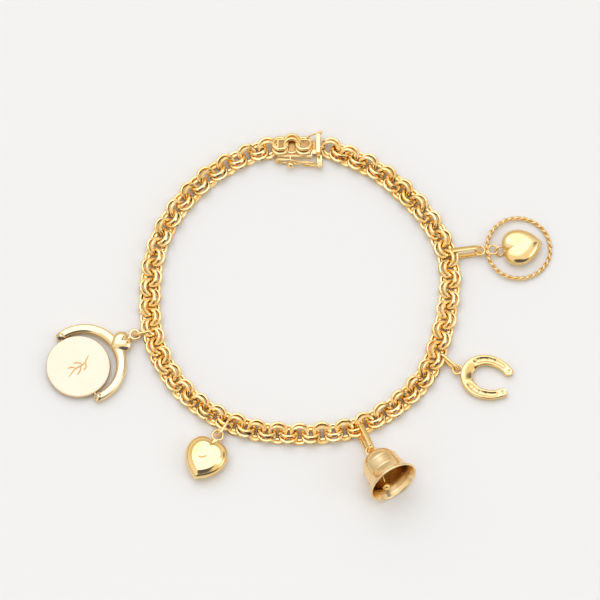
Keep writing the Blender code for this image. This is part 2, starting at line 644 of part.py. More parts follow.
def rope_hoop():
    """A hoop of two strands laid as a rope, an eye soldered outside it and one inside, and its heart."""
    radius = (HOOP_DIAMETER - HOOP_ROPE) / 2
    middle_x = HOOP_EYE_RADIUS + HOOP_EYE_WIRE / 2 + HOOP_DIAMETER / 2 - SOLDER_DEPTH
    strand = HOOP_ROPE / 4
    section = [p + Vector((strand, 0.0, 0.0)) for p in arc(strand, -75.0, 75.0, 4)]
    section += [p - Vector((strand, 0.0, 0.0)) for p in arc(strand, 105.0, 255.0, 4)]
    rings = []
    count = HOOP_TWISTS * HOOP_STEPS
    for k in range(count):
        angle = math.tau * k / count
        lay = angle * HOOP_TWISTS
        out = Vector((math.cos(angle), math.sin(angle), 0.0))
        spot = Vector((middle_x, 0.0, hoop_middle)) + out * radius
        up = Vector((0.0, 0.0, 1.0))
        ring = []
        for p in section:
            across = p.x * math.cos(lay) - p.y * math.sin(lay)
            rise = p.x * math.sin(lay) + p.y * math.cos(lay)
            ring.append(spot + out * across + up * rise)
        rings.append(ring)
    hoop = place(loft(rings, closed=True), "rope_hoop", hoop_frame, polished)
    eye = place(wire(arc(HOOP_EYE_RADIUS, count=EYE_POINTS), HOOP_EYE_WIRE), "hoop_eye", hoop_frame, None,
                (0.0, 0.0, hoop_middle))
    inner_x = middle_x - radius + INNER_EYE_RADIUS + INNER_EYE_WIRE / 2
    inner = place(wire(arc(INNER_EYE_RADIUS, count=EYE_POINTS), INNER_EYE_WIRE), "inner_eye",
                  hoop_frame, None, (inner_x, 0.0, hoop_middle))
    combine(hoop, "UNION", [eye, inner])

    heart_eye_x = inner_x + INNER_EYE_RADIUS + SMALL_HEART_EYE_RADIUS - INNER_EYE_WIRE / 2
    heart_eye_x = heart_eye_x - SMALL_HEART_EYE_WIRE / 2 - PIVOT_CLEARANCE
    heading = frame("small_heart_frame", heart_eye_x, 0.0, SMALL_HEART_HEADING, hoop_frame)
    half = SMALL_HEART_THICKNESS / 2
    layers = [(half * math.sin(math.radians(a)), math.cos(math.radians(a)) ** 0.8)
              for a in (-80, -60, -40, -20, 0, 20, 40, 60, 80)]
    cleft = SMALL_HEART_EYE_RADIUS + SMALL_HEART_EYE_WIRE / 2 + SMALL_HEART_LENGTH * HEART_CLEFT / 2
    tilted_lift = HOOP_LIFT * (1.0 - (heart_eye_x + cleft + SMALL_HEART_LENGTH / 2) / hoop_reach)
    body_z = small_heart_middle - tilted_lift
    body = puffed_heart(SMALL_HEART_WIDTH, SMALL_HEART_LENGTH, layers)
    heart = place(body, "hoop_heart", heading, polished, (cleft, 0.0, body_z))
    ring = wire(arc(SMALL_HEART_EYE_RADIUS, count=EYE_POINTS), SMALL_HEART_EYE_WIRE)
    eye = place(ring, "small_heart_eye", heading, None, (0.0, 0.0, hoop_middle),
                (math.radians(SMALL_HEART_EYE_LEAN), 0.0, 0.0))
    stem = rod(SMALL_HEART_EYE_WIRE * STEM_SHARE, (SMALL_HEART_EYE_RADIUS, 0.0, hoop_middle),
               (cleft + SMALL_HEART_LENGTH / 5, 0.0, body_z))
    combine(heart, "UNION", [eye, place(stem, "small_heart_stem", heading)])


def lug(name, x, facing):
    """A small half ring standing on a clasp's end face, which the chain's last links hold."""
    turn = (math.pi / 2, 0.0, 0.0)
    middle = (x, 0.0, chain_middle)
    bow = arc(LUG_RADIUS, facing - LUG_HALF_ARC, facing + LUG_HALF_ARC, 11)
    ring = place(wire(bow, LUG_WIRE, closed=False), name, clasp_frame, None, middle, turn)
    fat = wire(bow, LUG_WIRE + 2 * LINK_CLEARANCE, closed=False)
    cutter = place(fat, name + "_way", clasp_frame, None, middle, turn)
    return ring, cutter


def clasp():
    """The box with its knob, the sprung tongue with its end plate, and the figure-eight latch."""
    ways = []
    middle_x = BOX_WEST + BOX_LENGTH / 2
    body = place(box((BOX_LENGTH, BOX_WIDTH, BOX_HEIGHT), (middle_x, 0.0, BOX_HEIGHT / 2)), "clasp_box",
                 clasp_frame, polished)
    edge = body.modifiers.new("edge", "BEVEL")
    edge.width = BOX_EDGE
    edge.segments = 2
    cuts = []
    pocket_west = BOX_WEST + BOX_WALL
    pocket = box((box_east - pocket_west + BOX_WALL, BOX_WIDTH - 2 * BOX_WALL, BOX_HEIGHT - 2 * BOX_WALL),
                 ((pocket_west + box_east + BOX_WALL) / 2, 0.0, BOX_HEIGHT / 2))
    cuts.append(place(pocket, "box_pocket", clasp_frame))
    joins = []
    knob_y = -BOX_WIDTH / 2 - KNOB_REACH
    post = rod(KNOB_POST, (knob_x, BOX_WALL / 2 - BOX_WIDTH / 2, latch_middle),
               (knob_x, knob_y, latch_middle))
    joins.append(place(post, "knob_post", clasp_frame))
    joins.append(place(ball(KNOB_DIAMETER, (knob_x, knob_y, latch_middle)), "knob", clasp_frame))
    west_lug, west_way = lug("west_lug", BOX_WEST, 180.0)
    joins.append(west_lug)
    ways.append(west_way)
    for share, side, before, after in DRESS_RINGS:
        ring_x = BOX_WEST + share * BOX_LENGTH
        facing = 90.0 * side
        if share > BOX_WALL / BOX_LENGTH + WINDOW_LENGTH / BOX_LENGTH / 2:
            window = box((WINDOW_LENGTH, WINDOW_WIDTH, 2 * BOX_WALL),
                         (ring_x, -side * DRESS_LEAN / 2, BOX_HEIGHT))
            cuts.append(place(window, "box_window", clasp_frame))
        for step, height in ((0.0, BOX_HEIGHT + DRESS_WIRE * DRESS_SUNK), (DRESS_LEAN, BOX_HEIGHT)):
            shift = side * (step - DRESS_LEAN / 2)
            curve = arc(DRESS_RING_RADIUS, facing - before, facing + after, 11, (0.0, shift, 0.0))
            arch = wire(curve, DRESS_WIRE, closed=False)
            joins.append(place(arch, "dress_ring", clasp_frame, None, (ring_x, 0.0, height)))
    combine(body, "DIFFERENCE", cuts)
    combine(body, "UNION", joins)

    plate_middle = (plate_west + plate_east) / 2
    plate = place(box((PLATE_THICKNESS, PLATE_LENGTH, PLATE_HEIGHT),
                      (plate_middle, PLATE_SHIFT, PLATE_HEIGHT / 2)), "clasp_tongue", clasp_frame, polished)
    rounded = plate.modifiers.new("edge", "BEVEL")
    rounded.width = BOX_EDGE
    rounded.segments = 2
    room = BOX_HEIGHT - 2 * BOX_WALL - 2 * SEAT_GAP
    leaf_width = BOX_WIDTH - 2 * BOX_WALL - 2 * SEAT_GAP
    leaf_low = BOX_WALL + SEAT_GAP
    leaf_west = box_east - LEAF_LENGTH
    upper = box((LEAF_LENGTH + SEAT_GAP + PLATE_THICKNESS / 2, leaf_width, room),
                ((leaf_west + plate_middle) / 2, 0.0, leaf_low + room / 2))
    additions = [place(upper, "spring_leaf", clasp_frame)]
    east_lug, east_way = lug("east_lug", plate_east, 0.0)
    additions.append(east_lug)
    ways.append(east_way)
    pivot_y = -BOX_WIDTH / 2 - PIVOT_REACH
    foot = latch_middle - PIVOT_HEIGHT / 2 - PIVOT_CLEARANCE - PIVOT_ARM
    plate_south = PLATE_SHIFT - PLATE_LENGTH / 2
    arm = box((PIVOT_DIAMETER * 0.9, plate_south + BOX_WALL - pivot_y + PIVOT_PIN / 2, PIVOT_ARM),
              (pivot_x, (pivot_y - PIVOT_PIN / 2 + plate_south + BOX_WALL) / 2, foot + PIVOT_ARM / 2))
    additions.append(place(arm, "pivot_arm", clasp_frame))
    pin = rod(PIVOT_PIN, (pivot_x, pivot_y, foot + PIVOT_ARM / 2),
              (pivot_x, pivot_y, latch_middle + PIVOT_HEIGHT / 2 + PIVOT_CLEARANCE))
    additions.append(place(pin, "pivot_pin", clasp_frame))
    box_corner = Vector((box_east, BOX_WIDTH / 2, BOX_HEIGHT))
    tip_y = PLATE_LENGTH / 2 + TIP_ARM_END
    arm_points = [box_corner + Vector(TIP_ARM_START), box_corner + Vector(TIP_ARM_KNEE),
                  Vector((plate_middle, tip_y - TIP_ARM_END / 2, PLATE_HEIGHT - TIP_ARM_WIRE)),
                  Vector((plate_east, tip_y, PLATE_HEIGHT - TIP_ARM_WIRE))]
    additions.append(place(wire(arm_points, TIP_ARM_WIRE, closed=False), "tip_arm", clasp_frame))
    additions.append(place(ball(TIP_BALL, arm_points[-1], 12), "tip_ball", clasp_frame))
    combine(plate, "UNION", additions)

    pivot = frame("latch_pivot", pivot_x, pivot_y, 180.0 - LATCH_TURN, clasp_frame)
    pivot.location.z = latch_middle
    half_tube = Vector((0.0, 0.0, PIVOT_HEIGHT / 2))
    latch = place(rod(PIVOT_DIAMETER, -half_tube, half_tube), "clasp_latch", pivot, polished)
    bore = place(rod(PIVOT_PIN + 2 * PIVOT_CLEARANCE, -2 * half_tube, 2 * half_tube), "latch_bore", pivot)
    start = PIVOT_DIAMETER / 2 - LATCH_WIRE / 3
    side = []
    samples = 22
    half = LATCH_HEIGHT / 2 - LATCH_WIRE / 2
    for k in range(samples + 1):
        x = start + (latch_length - start) * (1.0 - math.cos(math.pi * k / samples)) / 2
        if x < latch_waist_at:
            bow = math.sin(math.pi * (x - start) / (latch_waist_at - start))
            z = LATCH_WAIST / 2 + (half * LATCH_FIRST_LOOP - LATCH_WAIST / 2) * max(bow, 0.0) ** 0.8
        else:
            bow = (x - latch_waist_at) / (latch_length - latch_waist_at)
            z = half * math.sqrt(max(0.0, 1.0 - (2.0 * bow - 1.0) ** 2))
            z = max(z, LATCH_WAIST / 2 if bow < 0.5 else 0.0)
        side.append((x, z))
    loop = [Vector((x, 0.0, z)) for x, z in side] + [Vector((x, 0.0, -z)) for x, z in reversed(side[:-1])]
    eight = place(wire(loop, LATCH_WIRE, closed=False), "latch_wire", pivot)
    combine(latch, "UNION", [eight])
    combine(latch, "DIFFERENCE", [bore])
    return ways


def chain(ways):
    """The chain's outer form as one oval tube, opened where rings, bails and lugs pass through it."""
    west = Vector((BOX_WEST - SEAT_GAP, CLASP_Y, 0.0))
    east = Vector((plate_east + SEAT_GAP, CLASP_Y, 0.0))
    chosen = [Vector((x * MM, y * MM, 0.0)) for x, y in CHAIN_ROUTE]
    straight = Vector((CHAIN_STRAIGHT, 0.0, 0.0))
    between = smooth_route([west - straight] + chosen + [east + straight], CHAIN_SAMPLES)
    route = [west] + between + [east]
    tube = wire(route, CHAIN_WIDTH, closed=False, resolution=3)
    tube.transform(Matrix.Diagonal((1.0, 1.0, CHAIN_HEIGHT / CHAIN_WIDTH, 1.0)))
    body = place(tube, "chain", root, polished, (0.0, 0.0, chain_middle))
    combine(body, "DIFFERENCE", ways)


def above(holder, height):
    """A point on a charm frame's Z axis, in the bracelet's frame."""
    return holder.matrix_world @ Vector((0.0, 0.0, height))


chain_ways = clasp()
spinner()
flat_faced_heart()
bell()
horseshoe()
rope_hoop()
ring_wires = (RING_WIDTH, RING_WIRE, 0.0)
bail_straps = (BAIL_WIDTH, BAIL_THICKNESS, BAIL_STRAP)
connectors = [
    ("spinner_ring", SPINNER_HOLD, above(spinner_frame, spinner_middle), *ring_wires, RING_LEAN),
    ("heart_ring", HEART_HOLD, above(heart_frame, heart_middle), *ring_wires, RING_LEAN),
    ("bell_bail", BELL_HOLD, above(bell_frame, bell_eye_height), *bail_straps, BAIL_LEAN),
    ("horseshoe_bail", SHOE_HOLD, above(shoe_frame, shoe_middle), *ring_wires, SHOE_BAIL_LEAN),
    ("hoop_bail", HOOP_HOLD, above(hoop_frame, hoop_middle), *bail_straps, BAIL_LEAN),
]
for settings in connectors:
    chain_ways.append(connector(*settings)[1])
chain(chain_ways)


def centre_footprint():
    """Shift the whole bracelet so that its footprint's middle is at the origin."""
    bpy.context.view_layer.update()
    depsgraph = bpy.context.evaluated_depsgraph_get()
    corners = []
    for piece in parts.objects:
        if piece.type == "MESH":
            shown = piece.evaluated_get(depsgraph)
            corners += [shown.matrix_world @ vertex.co for vertex in shown.data.vertices]
    low = Vector([min(corner[k] for corner in corners) for k in range(3)])
    high = Vector([max(corner[k] for corner in corners) for k in range(3)])
    root.location = (-(low.x + high.x) / 2, -(low.y + high.y) / 2, -low.z)
    bpy.context.view_layer.update()


centre_footprint()
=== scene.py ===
"""A charm bracelet lying on a pale table: its looks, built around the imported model."""

import bmesh
import bpy
import numpy as np
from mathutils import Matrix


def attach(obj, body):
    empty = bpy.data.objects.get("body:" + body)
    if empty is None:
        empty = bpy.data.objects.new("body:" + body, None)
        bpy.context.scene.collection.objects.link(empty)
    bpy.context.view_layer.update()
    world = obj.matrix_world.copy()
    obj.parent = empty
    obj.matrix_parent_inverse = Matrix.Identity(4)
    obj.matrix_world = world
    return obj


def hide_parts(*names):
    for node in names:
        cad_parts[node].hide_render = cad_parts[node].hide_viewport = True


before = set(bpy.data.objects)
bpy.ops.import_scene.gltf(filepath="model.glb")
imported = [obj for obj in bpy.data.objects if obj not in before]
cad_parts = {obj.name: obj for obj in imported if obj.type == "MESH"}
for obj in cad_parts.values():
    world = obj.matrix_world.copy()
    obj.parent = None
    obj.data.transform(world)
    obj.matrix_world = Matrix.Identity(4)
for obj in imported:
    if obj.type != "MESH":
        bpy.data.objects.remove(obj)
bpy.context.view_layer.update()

# ---- Camera, table and light
# The bracelet lies on a pale paper table under a white cloth light tent. The tent has openings to
# the south, where the camera stands, so polished gold shows dark spots on its slopes to that side.
MM = 0.001
CAMERA_RISE = 72.0
CAMERA_LENS = 600.0
FRAME_WIDTH = 120.0 * MM
SENSOR_WIDTH = 36.0
CAMERA_AIM = np.array((0.06, 3.4, 1.2)) * MM
TABLE_SIZE = 3.0
TABLE_COLOUR = (0.890, 0.865, 0.757, 1.0)
TABLE_CLOUDS = 6.0  # noise scale
TABLE_LIFT = 1.01
TENT_STOPS = (  # place on the ramp from straight down to straight up, brightness
    (0.0, 0.53), (0.48, 0.53), (0.56, 0.58), (0.68, 0.79), (0.82, 1.01), (1.0, 1.01),
)
TENT_PANELS = (  # direction, degrees from it to the inner and outer edge, brightness
    ((-0.15, 0.42, 0.90), (24.0, 36.0), 1.68),
    ((0.80, -0.22, 0.52), (9.0, 16.0), 2.0),
    ((0.62, 0.28, 0.73), (7.0, 13.0), 0.22),
    ((0.10, -0.76, 0.64), (16.0, 27.0), 0.12),
    ((0.48, -0.76, 0.42), (13.0, 22.0), 0.12),
)
PANEL_TINT = (1.0, 1.06, 1.38)
TENT_TINT = (1.0, 0.985, 0.95)


class Socket:
    """One socket of a node tree. Python's operators on it add the Math nodes."""

    def __init__(self, tree, socket=None):
        self.tree = tree
        self.socket = socket

    def node(self, kind, settings=None, inputs=None, output=0):
        """A new node with its settings made first, then its sockets' values or links."""
        made = self.tree.nodes.new(kind)
        for key, value in (settings or {}).items():
            if key == "stops":
                while len(made.color_ramp.elements) < len(value):
                    made.color_ramp.elements.new(0.5)
                for element, (place, colour) in zip(made.color_ramp.elements, value):
                    element.position = place
                    element.color = colour
            else:
                setattr(made, key, value)
        for key, value in (inputs or {}).items():
            if isinstance(value, Socket):
                self.tree.links.new(value.socket, made.inputs[key])
            else:
                made.inputs[key].default_value = value
        return Socket(self.tree, made.outputs[output])

    def maths(self, operation, *values):
        """A Math node on numbers and sockets."""
        return self.node("ShaderNodeMath", {"operation": operation}, dict(enumerate(values)))

    def vector(self, operation, *values, output=0):
        """A Vector Math node on directions and sockets."""
        return self.node("ShaderNodeVectorMath", {"operation": operation}, dict(enumerate(values)), output)

    def between(self, low, high):
        """A smooth step from 0 below low to 1 above high."""
        return self.node("ShaderNodeMapRange", {"interpolation_type": "SMOOTHSTEP"},
                         {"Value": self, "From Min": low, "From Max": high})

    def blend(self, first, second):
        """The first colour where this is 0, the second where it is 1."""
        return self.node("ShaderNodeMix", {"data_type": "RGBA"}, {0: self, 6: first, 7: second}, 2)

    def __add__(self, other):
        return self.maths("ADD", self, other)

    def __radd__(self, other):
        return self.maths("ADD", other, self)

    def __mul__(self, other):
        return self.maths("MULTIPLY", self, other)

    def __rmul__(self, other):
        return self.maths("MULTIPLY", other, self)


def turned(rise):
    """The unit direction at this many degrees above the table, south of it."""
    return np.array((0.0, -np.cos(np.radians(rise)), np.sin(np.radians(rise))))


def photograph_camera():
    """A camera one long lens away from its aim, so that its frame is FRAME_WIDTH across there."""
    lens = bpy.data.cameras.new("camera")
    lens.lens = CAMERA_LENS
    lens.sensor_width = SENSOR_WIDTH
    lens.clip_start = 0.01
    distance = FRAME_WIDTH * CAMERA_LENS / SENSOR_WIDTH
    camera = bpy.data.objects.new("camera", lens)
    camera.location = CAMERA_AIM + turned(CAMERA_RISE) * distance
    camera.rotation_euler = (np.radians(90.0 - CAMERA_RISE), 0.0, 0.0)
    bpy.context.scene.collection.objects.link(camera)
    bpy.context.scene.camera = camera


def light_tent():
    """World light: a wall that brightens with height, two cool panels of cloth lit from behind
    and the dark openings between them and to the south. Each panel fades over its last degrees."""
    world = bpy.data.worlds.new("light_tent")
    world.use_nodes = True
    tree = world.node_tree
    start = Socket(tree)
    towards = start.node("ShaderNodeTexCoord", output="Generated")
    rise = start.node("ShaderNodeSeparateXYZ", inputs={0: towards}, output=2)
    stops = [(place, tuple(value * tint for tint in TENT_TINT) + (1.0,)) for place, value in TENT_STOPS]
    light = start.node("ShaderNodeValToRGB", {"stops": stops}, {0: rise * 0.5 + 0.5})
    for way, edges, value in TENT_PANELS:
        facing = start.vector("DOT_PRODUCT", towards, tuple(way / np.linalg.norm(way)), output="Value")
        inner, outer = np.cos(np.radians(edges))
        glow = tuple(value * tint for tint in PANEL_TINT) + (1.0,)
        light = facing.between(outer, inner).blend(light, glow)
    tree.links.new(light.socket, tree.nodes["Background"].inputs["Color"])
    bpy.context.scene.world = world
    bpy.context.scene.view_settings.view_transform = "Standard"


def table():
    """A flat square just under the lowest metal, with a faint change of tone."""
    half = TABLE_SIZE / 2
    surface = bpy.data.meshes.new("table")
    surface.from_pydata([(-half, -half, 0), (half, -half, 0), (half, half, 0), (-half, half, 0)], [],
                        [(0, 1, 2, 3)])
    top = bpy.data.objects.new("table", surface)
    bpy.context.scene.collection.objects.link(top)
    material = bpy.data.materials.new("table_paper")
    material.use_nodes = True
    start = Socket(material.node_tree)
    spot = start.node("ShaderNodeTexCoord", output="Object")
    cloud = start.node("ShaderNodeTexNoise", inputs={"Vector": spot, "Scale": TABLE_CLOUDS, "Detail": 2.0})
    colour = cloud.blend(TABLE_COLOUR, tuple(c * TABLE_LIFT for c in TABLE_COLOUR[:3]) + (1.0,))
    shader = material.node_tree.nodes["Principled BSDF"]
    material.node_tree.links.new(colour.socket, shader.inputs["Base Color"])
    shader.inputs["Roughness"].default_value = 0.9
    shader.inputs["Specular IOR Level"].default_value = 0.1
    surface.materials.append(material)


photograph_camera()
light_tent()
table()

# ---- Chain
# Round rings of gold wire linked two into two, so that each pair passes through the next. On the
# table one pair leans one way and the next pair the other. Every ring is soldered shut.
SHIFT = np.array((0.061, 5.6586, 0.0)) * MM
CLASP_ORIGIN = np.array((0.0, 29.8, 0.0)) * MM + SHIFT
BOX_WEST = -4.6 * MM
PLATE_EAST = 4.12 * MM
CHAIN_END_GAP = 0.3 * MM
CHAIN_STRAIGHT = 1.6 * MM
CHAIN_ROUTE = np.array((
    (-10.1, 28.6), (-14.7, 26.3), (-19.0, 23.2), (-22.7, 19.5), (-25.8, 15.2), (-28.1, 10.4),
    (-29.5, 5.1), (-30.0, -0.4), (-29.9, -5.9), (-28.9, -11.3), (-26.6, -16.5), (-23.4, -21.0),
    (-19.4, -24.7), (-14.9, -27.4), (-10.0, -29.2), (-5.0, -30.1), (0.0, -30.3), (5.1, -30.1),
    (10.0, -29.2), (14.7, -27.2), (19.1, -24.3), (23.0, -20.7), (26.0, -16.2), (27.9, -11.1),
    (29.2, -5.8), (29.9, -0.4), (29.9, 5.2), (28.3, 10.4), (25.6, 15.1), (22.2, 19.2),
    (18.5, 22.8), (14.4, 25.9), (9.8, 28.1),
)) * MM
RING_RADIUS = 1.65 * MM
RING_WIRE = 0.76 * MM
RING_NEAR = (-0.425 * MM, 0.916 * MM, 0.370)  # across the chain, height, slope across the chain
RING_FAR = (0.36 * MM, 1.242 * MM, 0.610)
PAIR_COUNT = 83
PAIR_MARKS = np.array((  # pair, its distance along the route in millimetres
    (0, 1.65), (1, 3.6), (9, 22.2), (17, 39.9), (23, 52.4), (29, 65.0), (41, 90.9), (45, 100.0),
    (61, 134.65), (79, 173.9), (81, 177.9), (82, 179.87),
))
RING_STEPS = 24
WIRE_STEPS = 8
RING_STRAY = (0.03 * MM, 0.03, 0.05)  # how far rings stray: sideways, in lean, in swing (radians)
BRIGHT_GOLD = (0.95, 0.70, 0.33, 1.0)
DEEP_GOLD = (0.93, 0.63, 0.23, 1.0)
TONE_SCALE = 260.0  # noise scales: slow change of tone, fine wear, soft dents
WEAR_SCALE = 1700.0
DENT_SCALE = 520.0
DENT_DEPTH = 0.05 * MM
UP = np.array((0.0, 0.0, 1.0))


def cubic(start, leave, arrive, end, steps):
    """Curves from starts to ends by way of two handles each: start (1 - t)^3
    + 3 leave t (1 - t)^2 + 3 arrive t^2 (1 - t) + end t^3, and the last end."""
    t = np.linspace(0.0, 1.0, steps, endpoint=False)[None, :, None]
    a, b, c, d = (value[:, None, :] for value in (start, leave, arrive, end))
    curve = a * (1 - t) ** 3 + 3 * b * t * (1 - t) ** 2 + 3 * c * t ** 2 * (1 - t) + d * t ** 3
    return np.vstack((curve.reshape(-1, end.shape[1]), end[-1:]))


def spline(points, steps):
    """A smooth curve through points: cubic pieces whose slope at a point is half the step
    between its two neighbours. Returns its points and the length from the start to each."""
    before = np.vstack((points[:1], points[:-2]))
    after = np.vstack((points[2:], points[-1:]))
    first = points[:-1] + (points[1:] - before) / 6
    second = points[1:] - (after - points[:-1]) / 6
    curve = cubic(points[:-1], first, second, points[1:], steps)
    length = np.concatenate(([0.0], np.cumsum(np.linalg.norm(np.diff(curve, axis=0), axis=1))))
    return curve, length


def grid_faces(rows, columns, wrap_rows):
    """Quads between neighbours of a grid of points numbered row by row: point (i, j) has the
    number i times the columns + j, and the last column meets the first."""
    i = np.arange(rows if wrap_rows else rows - 1)[:, None]
    j = np.arange(columns)[None, :]
    i_next = (i + 1) % rows
    j_next = (j + 1) % columns
    corners = [i * columns + j, i_next * columns + j, i_next * columns + j_next, i * columns + j_next]
    size = np.broadcast_shapes(i.shape, j.shape)
    return np.stack([np.broadcast_to(corner, size) for corner in corners], -1).reshape(-1, 4)


def shell(points, wrap_rows=False):
    """A skin over a grid of points. A row at an end that isn't joined up is closed with a fan of
    triangles from its middle."""
    rows, columns = points.shape[:2]
    faces = grid_faces(rows, columns, wrap_rows).tolist()
    flat = points.reshape(-1, 3)
    if not wrap_rows:
        middles = np.stack((points[0].mean(axis=0), points[-1].mean(axis=0)))
        ring = np.arange(columns)
        for k, first in enumerate((0, (rows - 1) * columns)):
            hub = np.full(columns, len(flat) + k)
            faces += np.stack((first + ring, first + (ring + 1) % columns, hub), -1).tolist()
        flat = np.vstack((flat, middles))
    return flat, faces


def torus_rings(centres, along, across, normal, radius, wire, steps, sides):
    """Many rings at once: centre + (radius + wire/2 cos v)(along cos u + across sin u)
    + wire/2 sin v normal."""
    u = np.linspace(0.0, 2 * np.pi, steps, endpoint=False)
    v = np.linspace(0.0, 2 * np.pi, sides, endpoint=False)
    out = along[:, None, :] * np.cos(u)[None, :, None] + across[:, None, :] * np.sin(u)[None, :, None]
    reach = radius + wire / 2 * np.cos(v)
    points = centres[:, None, None, :] + out[:, :, None, :] * reach[None, None, :, None]
    points = points + normal[:, None, None, :] * (wire / 2 * np.sin(v))[None, None, :, None]
    faces = grid_faces(steps, sides, True)
    per_ring = steps * sides
    offsets = np.arange(len(centres))[:, None, None] * per_ring
    return points.reshape(-1, 3), (faces[None] + offsets).reshape(-1, 4).tolist()


def metal(name, shapes, material, body, nodes=(), crisp=40.0):
    """One object from shapes given as points and faces. Its normals point outwards, and edges
    sharper than crisp degrees stay sharp."""
    bm = bmesh.new()
    mesh = bpy.data.meshes.new(name)
    points = []
    faces = []
    count = 0
    for shape_points, shape_faces in shapes:
        points.append(shape_points)
        faces += [[index + count for index in face] for face in shape_faces]
        count += len(shape_points)
    mesh.from_pydata(np.vstack(points).tolist(), [], faces)
    bm.from_mesh(mesh)
    bmesh.ops.remove_doubles(bm, verts=bm.verts, dist=1e-7)
    bmesh.ops.recalc_face_normals(bm, faces=bm.faces)
    bm.to_mesh(mesh)
    bm.free()
    mesh.shade_smooth()
    mesh.set_sharp_from_angle(angle=np.radians(crisp))
    mesh.materials.append(material)
    piece = bpy.data.objects.new(name, mesh)
    bpy.context.scene.collection.objects.link(piece)
    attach(piece, body)
    if nodes:
        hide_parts(*nodes)


def gold_finish(name, bright, deep, roughness, wear, dents=0.0):
    """Polished gold: its tone drifts slowly from bright to deep, fine wear dulls it in places,
    and a soft unevenness bends its reflections."""
    material = bpy.data.materials.new(name)
    material.use_nodes = True
    tree = material.node_tree
    shader = tree.nodes["Principled BSDF"]
    start = Socket(tree)
    spot = start.node("ShaderNodeTexCoord", output="Object")
    drift = start.node("ShaderNodeTexNoise", inputs={"Vector": spot, "Scale": TONE_SCALE, "Detail": 2.0})
    rubbed = start.node("ShaderNodeTexNoise", inputs={"Vector": spot, "Scale": WEAR_SCALE, "Detail": 4.0})
    tone = drift.between(0.35, 0.65).blend(bright, deep)
    gloss = rubbed.between(0.45, 0.75) * wear + roughness
    tree.links.new(tone.socket, shader.inputs["Base Color"])
    tree.links.new(gloss.socket, shader.inputs["Roughness"])
    shader.inputs["Metallic"].default_value = 1.0
    if dents:
        soft = start.node("ShaderNodeTexNoise", inputs={"Vector": spot, "Scale": DENT_SCALE, "Detail": 3.0})
        bump = start.node("ShaderNodeBump",
                          inputs={"Height": soft, "Strength": dents, "Distance": DENT_DEPTH})
        tree.links.new(bump.socket, shader.inputs["Normal"])
    return material


ring_gold = gold_finish("ring_gold", BRIGHT_GOLD, DEEP_GOLD, 0.07, 0.08, 0.10)


def chain_rings():
    """Every ring's centre and three directions. A centre is the route's point at its pair's
    distance + its seat's reach across the chain + its height. A ring leans by its seat's slope,
    mirrored from pair to pair, and one that leans further is lifted by as much as it would dip."""
    west = CLASP_ORIGIN[:2] - SHIFT[:2] + (BOX_WEST - CHAIN_END_GAP, 0.0)
    east = CLASP_ORIGIN[:2] - SHIFT[:2] + (PLATE_EAST + CHAIN_END_GAP, 0.0)
    route = np.vstack((west, west - (CHAIN_STRAIGHT, 0.0), CHAIN_ROUTE, east + (CHAIN_STRAIGHT, 0.0), east))
    curve, length = spline(route, 24)
    pair = np.repeat(np.arange(PAIR_COUNT), 2)
    at = np.interp(pair, PAIR_MARKS[:, 0], PAIR_MARKS[:, 1] * MM)
    spot, ahead, behind = (np.stack([np.interp(at + step, length, curve[:, k]) for k in range(2)], -1)
                           for step in (0.0, RING_WIRE, -RING_WIRE))
    along = np.pad((ahead - behind) / np.linalg.norm(ahead - behind, axis=1)[:, None], ((0, 0), (0, 1)))
    out = np.stack((along[:, 1], -along[:, 0], np.zeros(len(pair))), -1)
    luck = np.random.default_rng(12)
    mirror = np.where(pair % 2 == 1, 1.0, -1.0)
    seats = np.array((RING_NEAR, RING_FAR))[np.arange(len(pair)) % 2]
    across = (seats[:, 0] + luck.normal(0.0, RING_STRAY[0], len(pair))) * mirror
    lean = np.arctan(seats[:, 2]) + luck.normal(0.0, RING_STRAY[1], len(pair))
    height = seats[:, 1] + np.maximum(RING_RADIUS * (np.sin(lean) - np.sin(np.arctan(seats[:, 2]))), 0.0)
    swing = luck.normal(0.0, RING_STRAY[2], len(pair))[:, None]
    centres = np.pad(spot, ((0, 0), (0, 1))) + SHIFT + out * across[:, None] + UP * height[:, None]
    lead = along * np.cos(swing) + out * np.sin(swing)
    side = out * np.cos(swing) - along * np.sin(swing)
    tilt = lean[:, None]
    over = side * np.cos(tilt) - UP * np.sin(tilt) * mirror[:, None]
    normal = np.cross(lead, over)
    return centres, lead, over, normal


rings = torus_rings(*chain_rings(), RING_RADIUS, RING_WIRE, RING_STEPS, WIRE_STEPS)
metal("chain_rings", [rings], ring_gold, "bracelet", ("chain",))

# ---- Clasp
# A gold box whose open top is dressed with soldered rings of chain wire, over a lining of dull gold
# darkened as painted shade. A dark block of painted shade fills the gap by the plate. A sprung tongue
# with an upright end plate slides into it. A figure-eight safety wire turns on a tube at the plate and
# snaps over the ball knob on the box's side.
BOX_EAST = 2.5 * MM
BOX_WIDTH = 3.8 * MM
BOX_HEIGHT = 1.5 * MM
BOX_RIM = 0.26 * MM
BOX_EDGE = 0.12 * MM
BOX_FLOOR = 0.8 * MM
LINING_OVERLAP = 0.1 * MM
LINING_RISE = 0.50 * MM
# The throat block is painted shade: a dark block filling the gap between the box and the plate.
THROAT_SHADE_BLOCK = (-0.3 * MM, 1.3 * MM, 0.5 * MM, 1.3 * MM)  # across from and to, height from and to
DRESS_RADIUS = 1.45 * MM
DRESS_WIRE = 0.78 * MM
DRESS_SLOPE = 0.36
DRESS_RINGS = (  # middle along the box, middle across, side it is high on, height
    (-4.02, 0.85, -1.0, 1.55), (-4.02, -0.05, -1.0, 1.20),
    (-1.66, 0.35, 1.0, 1.55), (-1.60, 1.30, 1.0, 1.25),
    (0.72, 0.85, -1.0, 1.55), (0.72, -0.05, -1.0, 1.20),
)
BEAD = (-3.46 * MM, -1.35 * MM, 1.75 * MM)
BEAD_DIAMETER = 0.75 * MM
KNOB = (-1.9525 * MM, -3.5 * MM, 1.32 * MM)
KNOB_DIAMETER = 1.55 * MM
KNOB_POST = 0.5 * MM
PLATE_WEST = 3.2 * MM
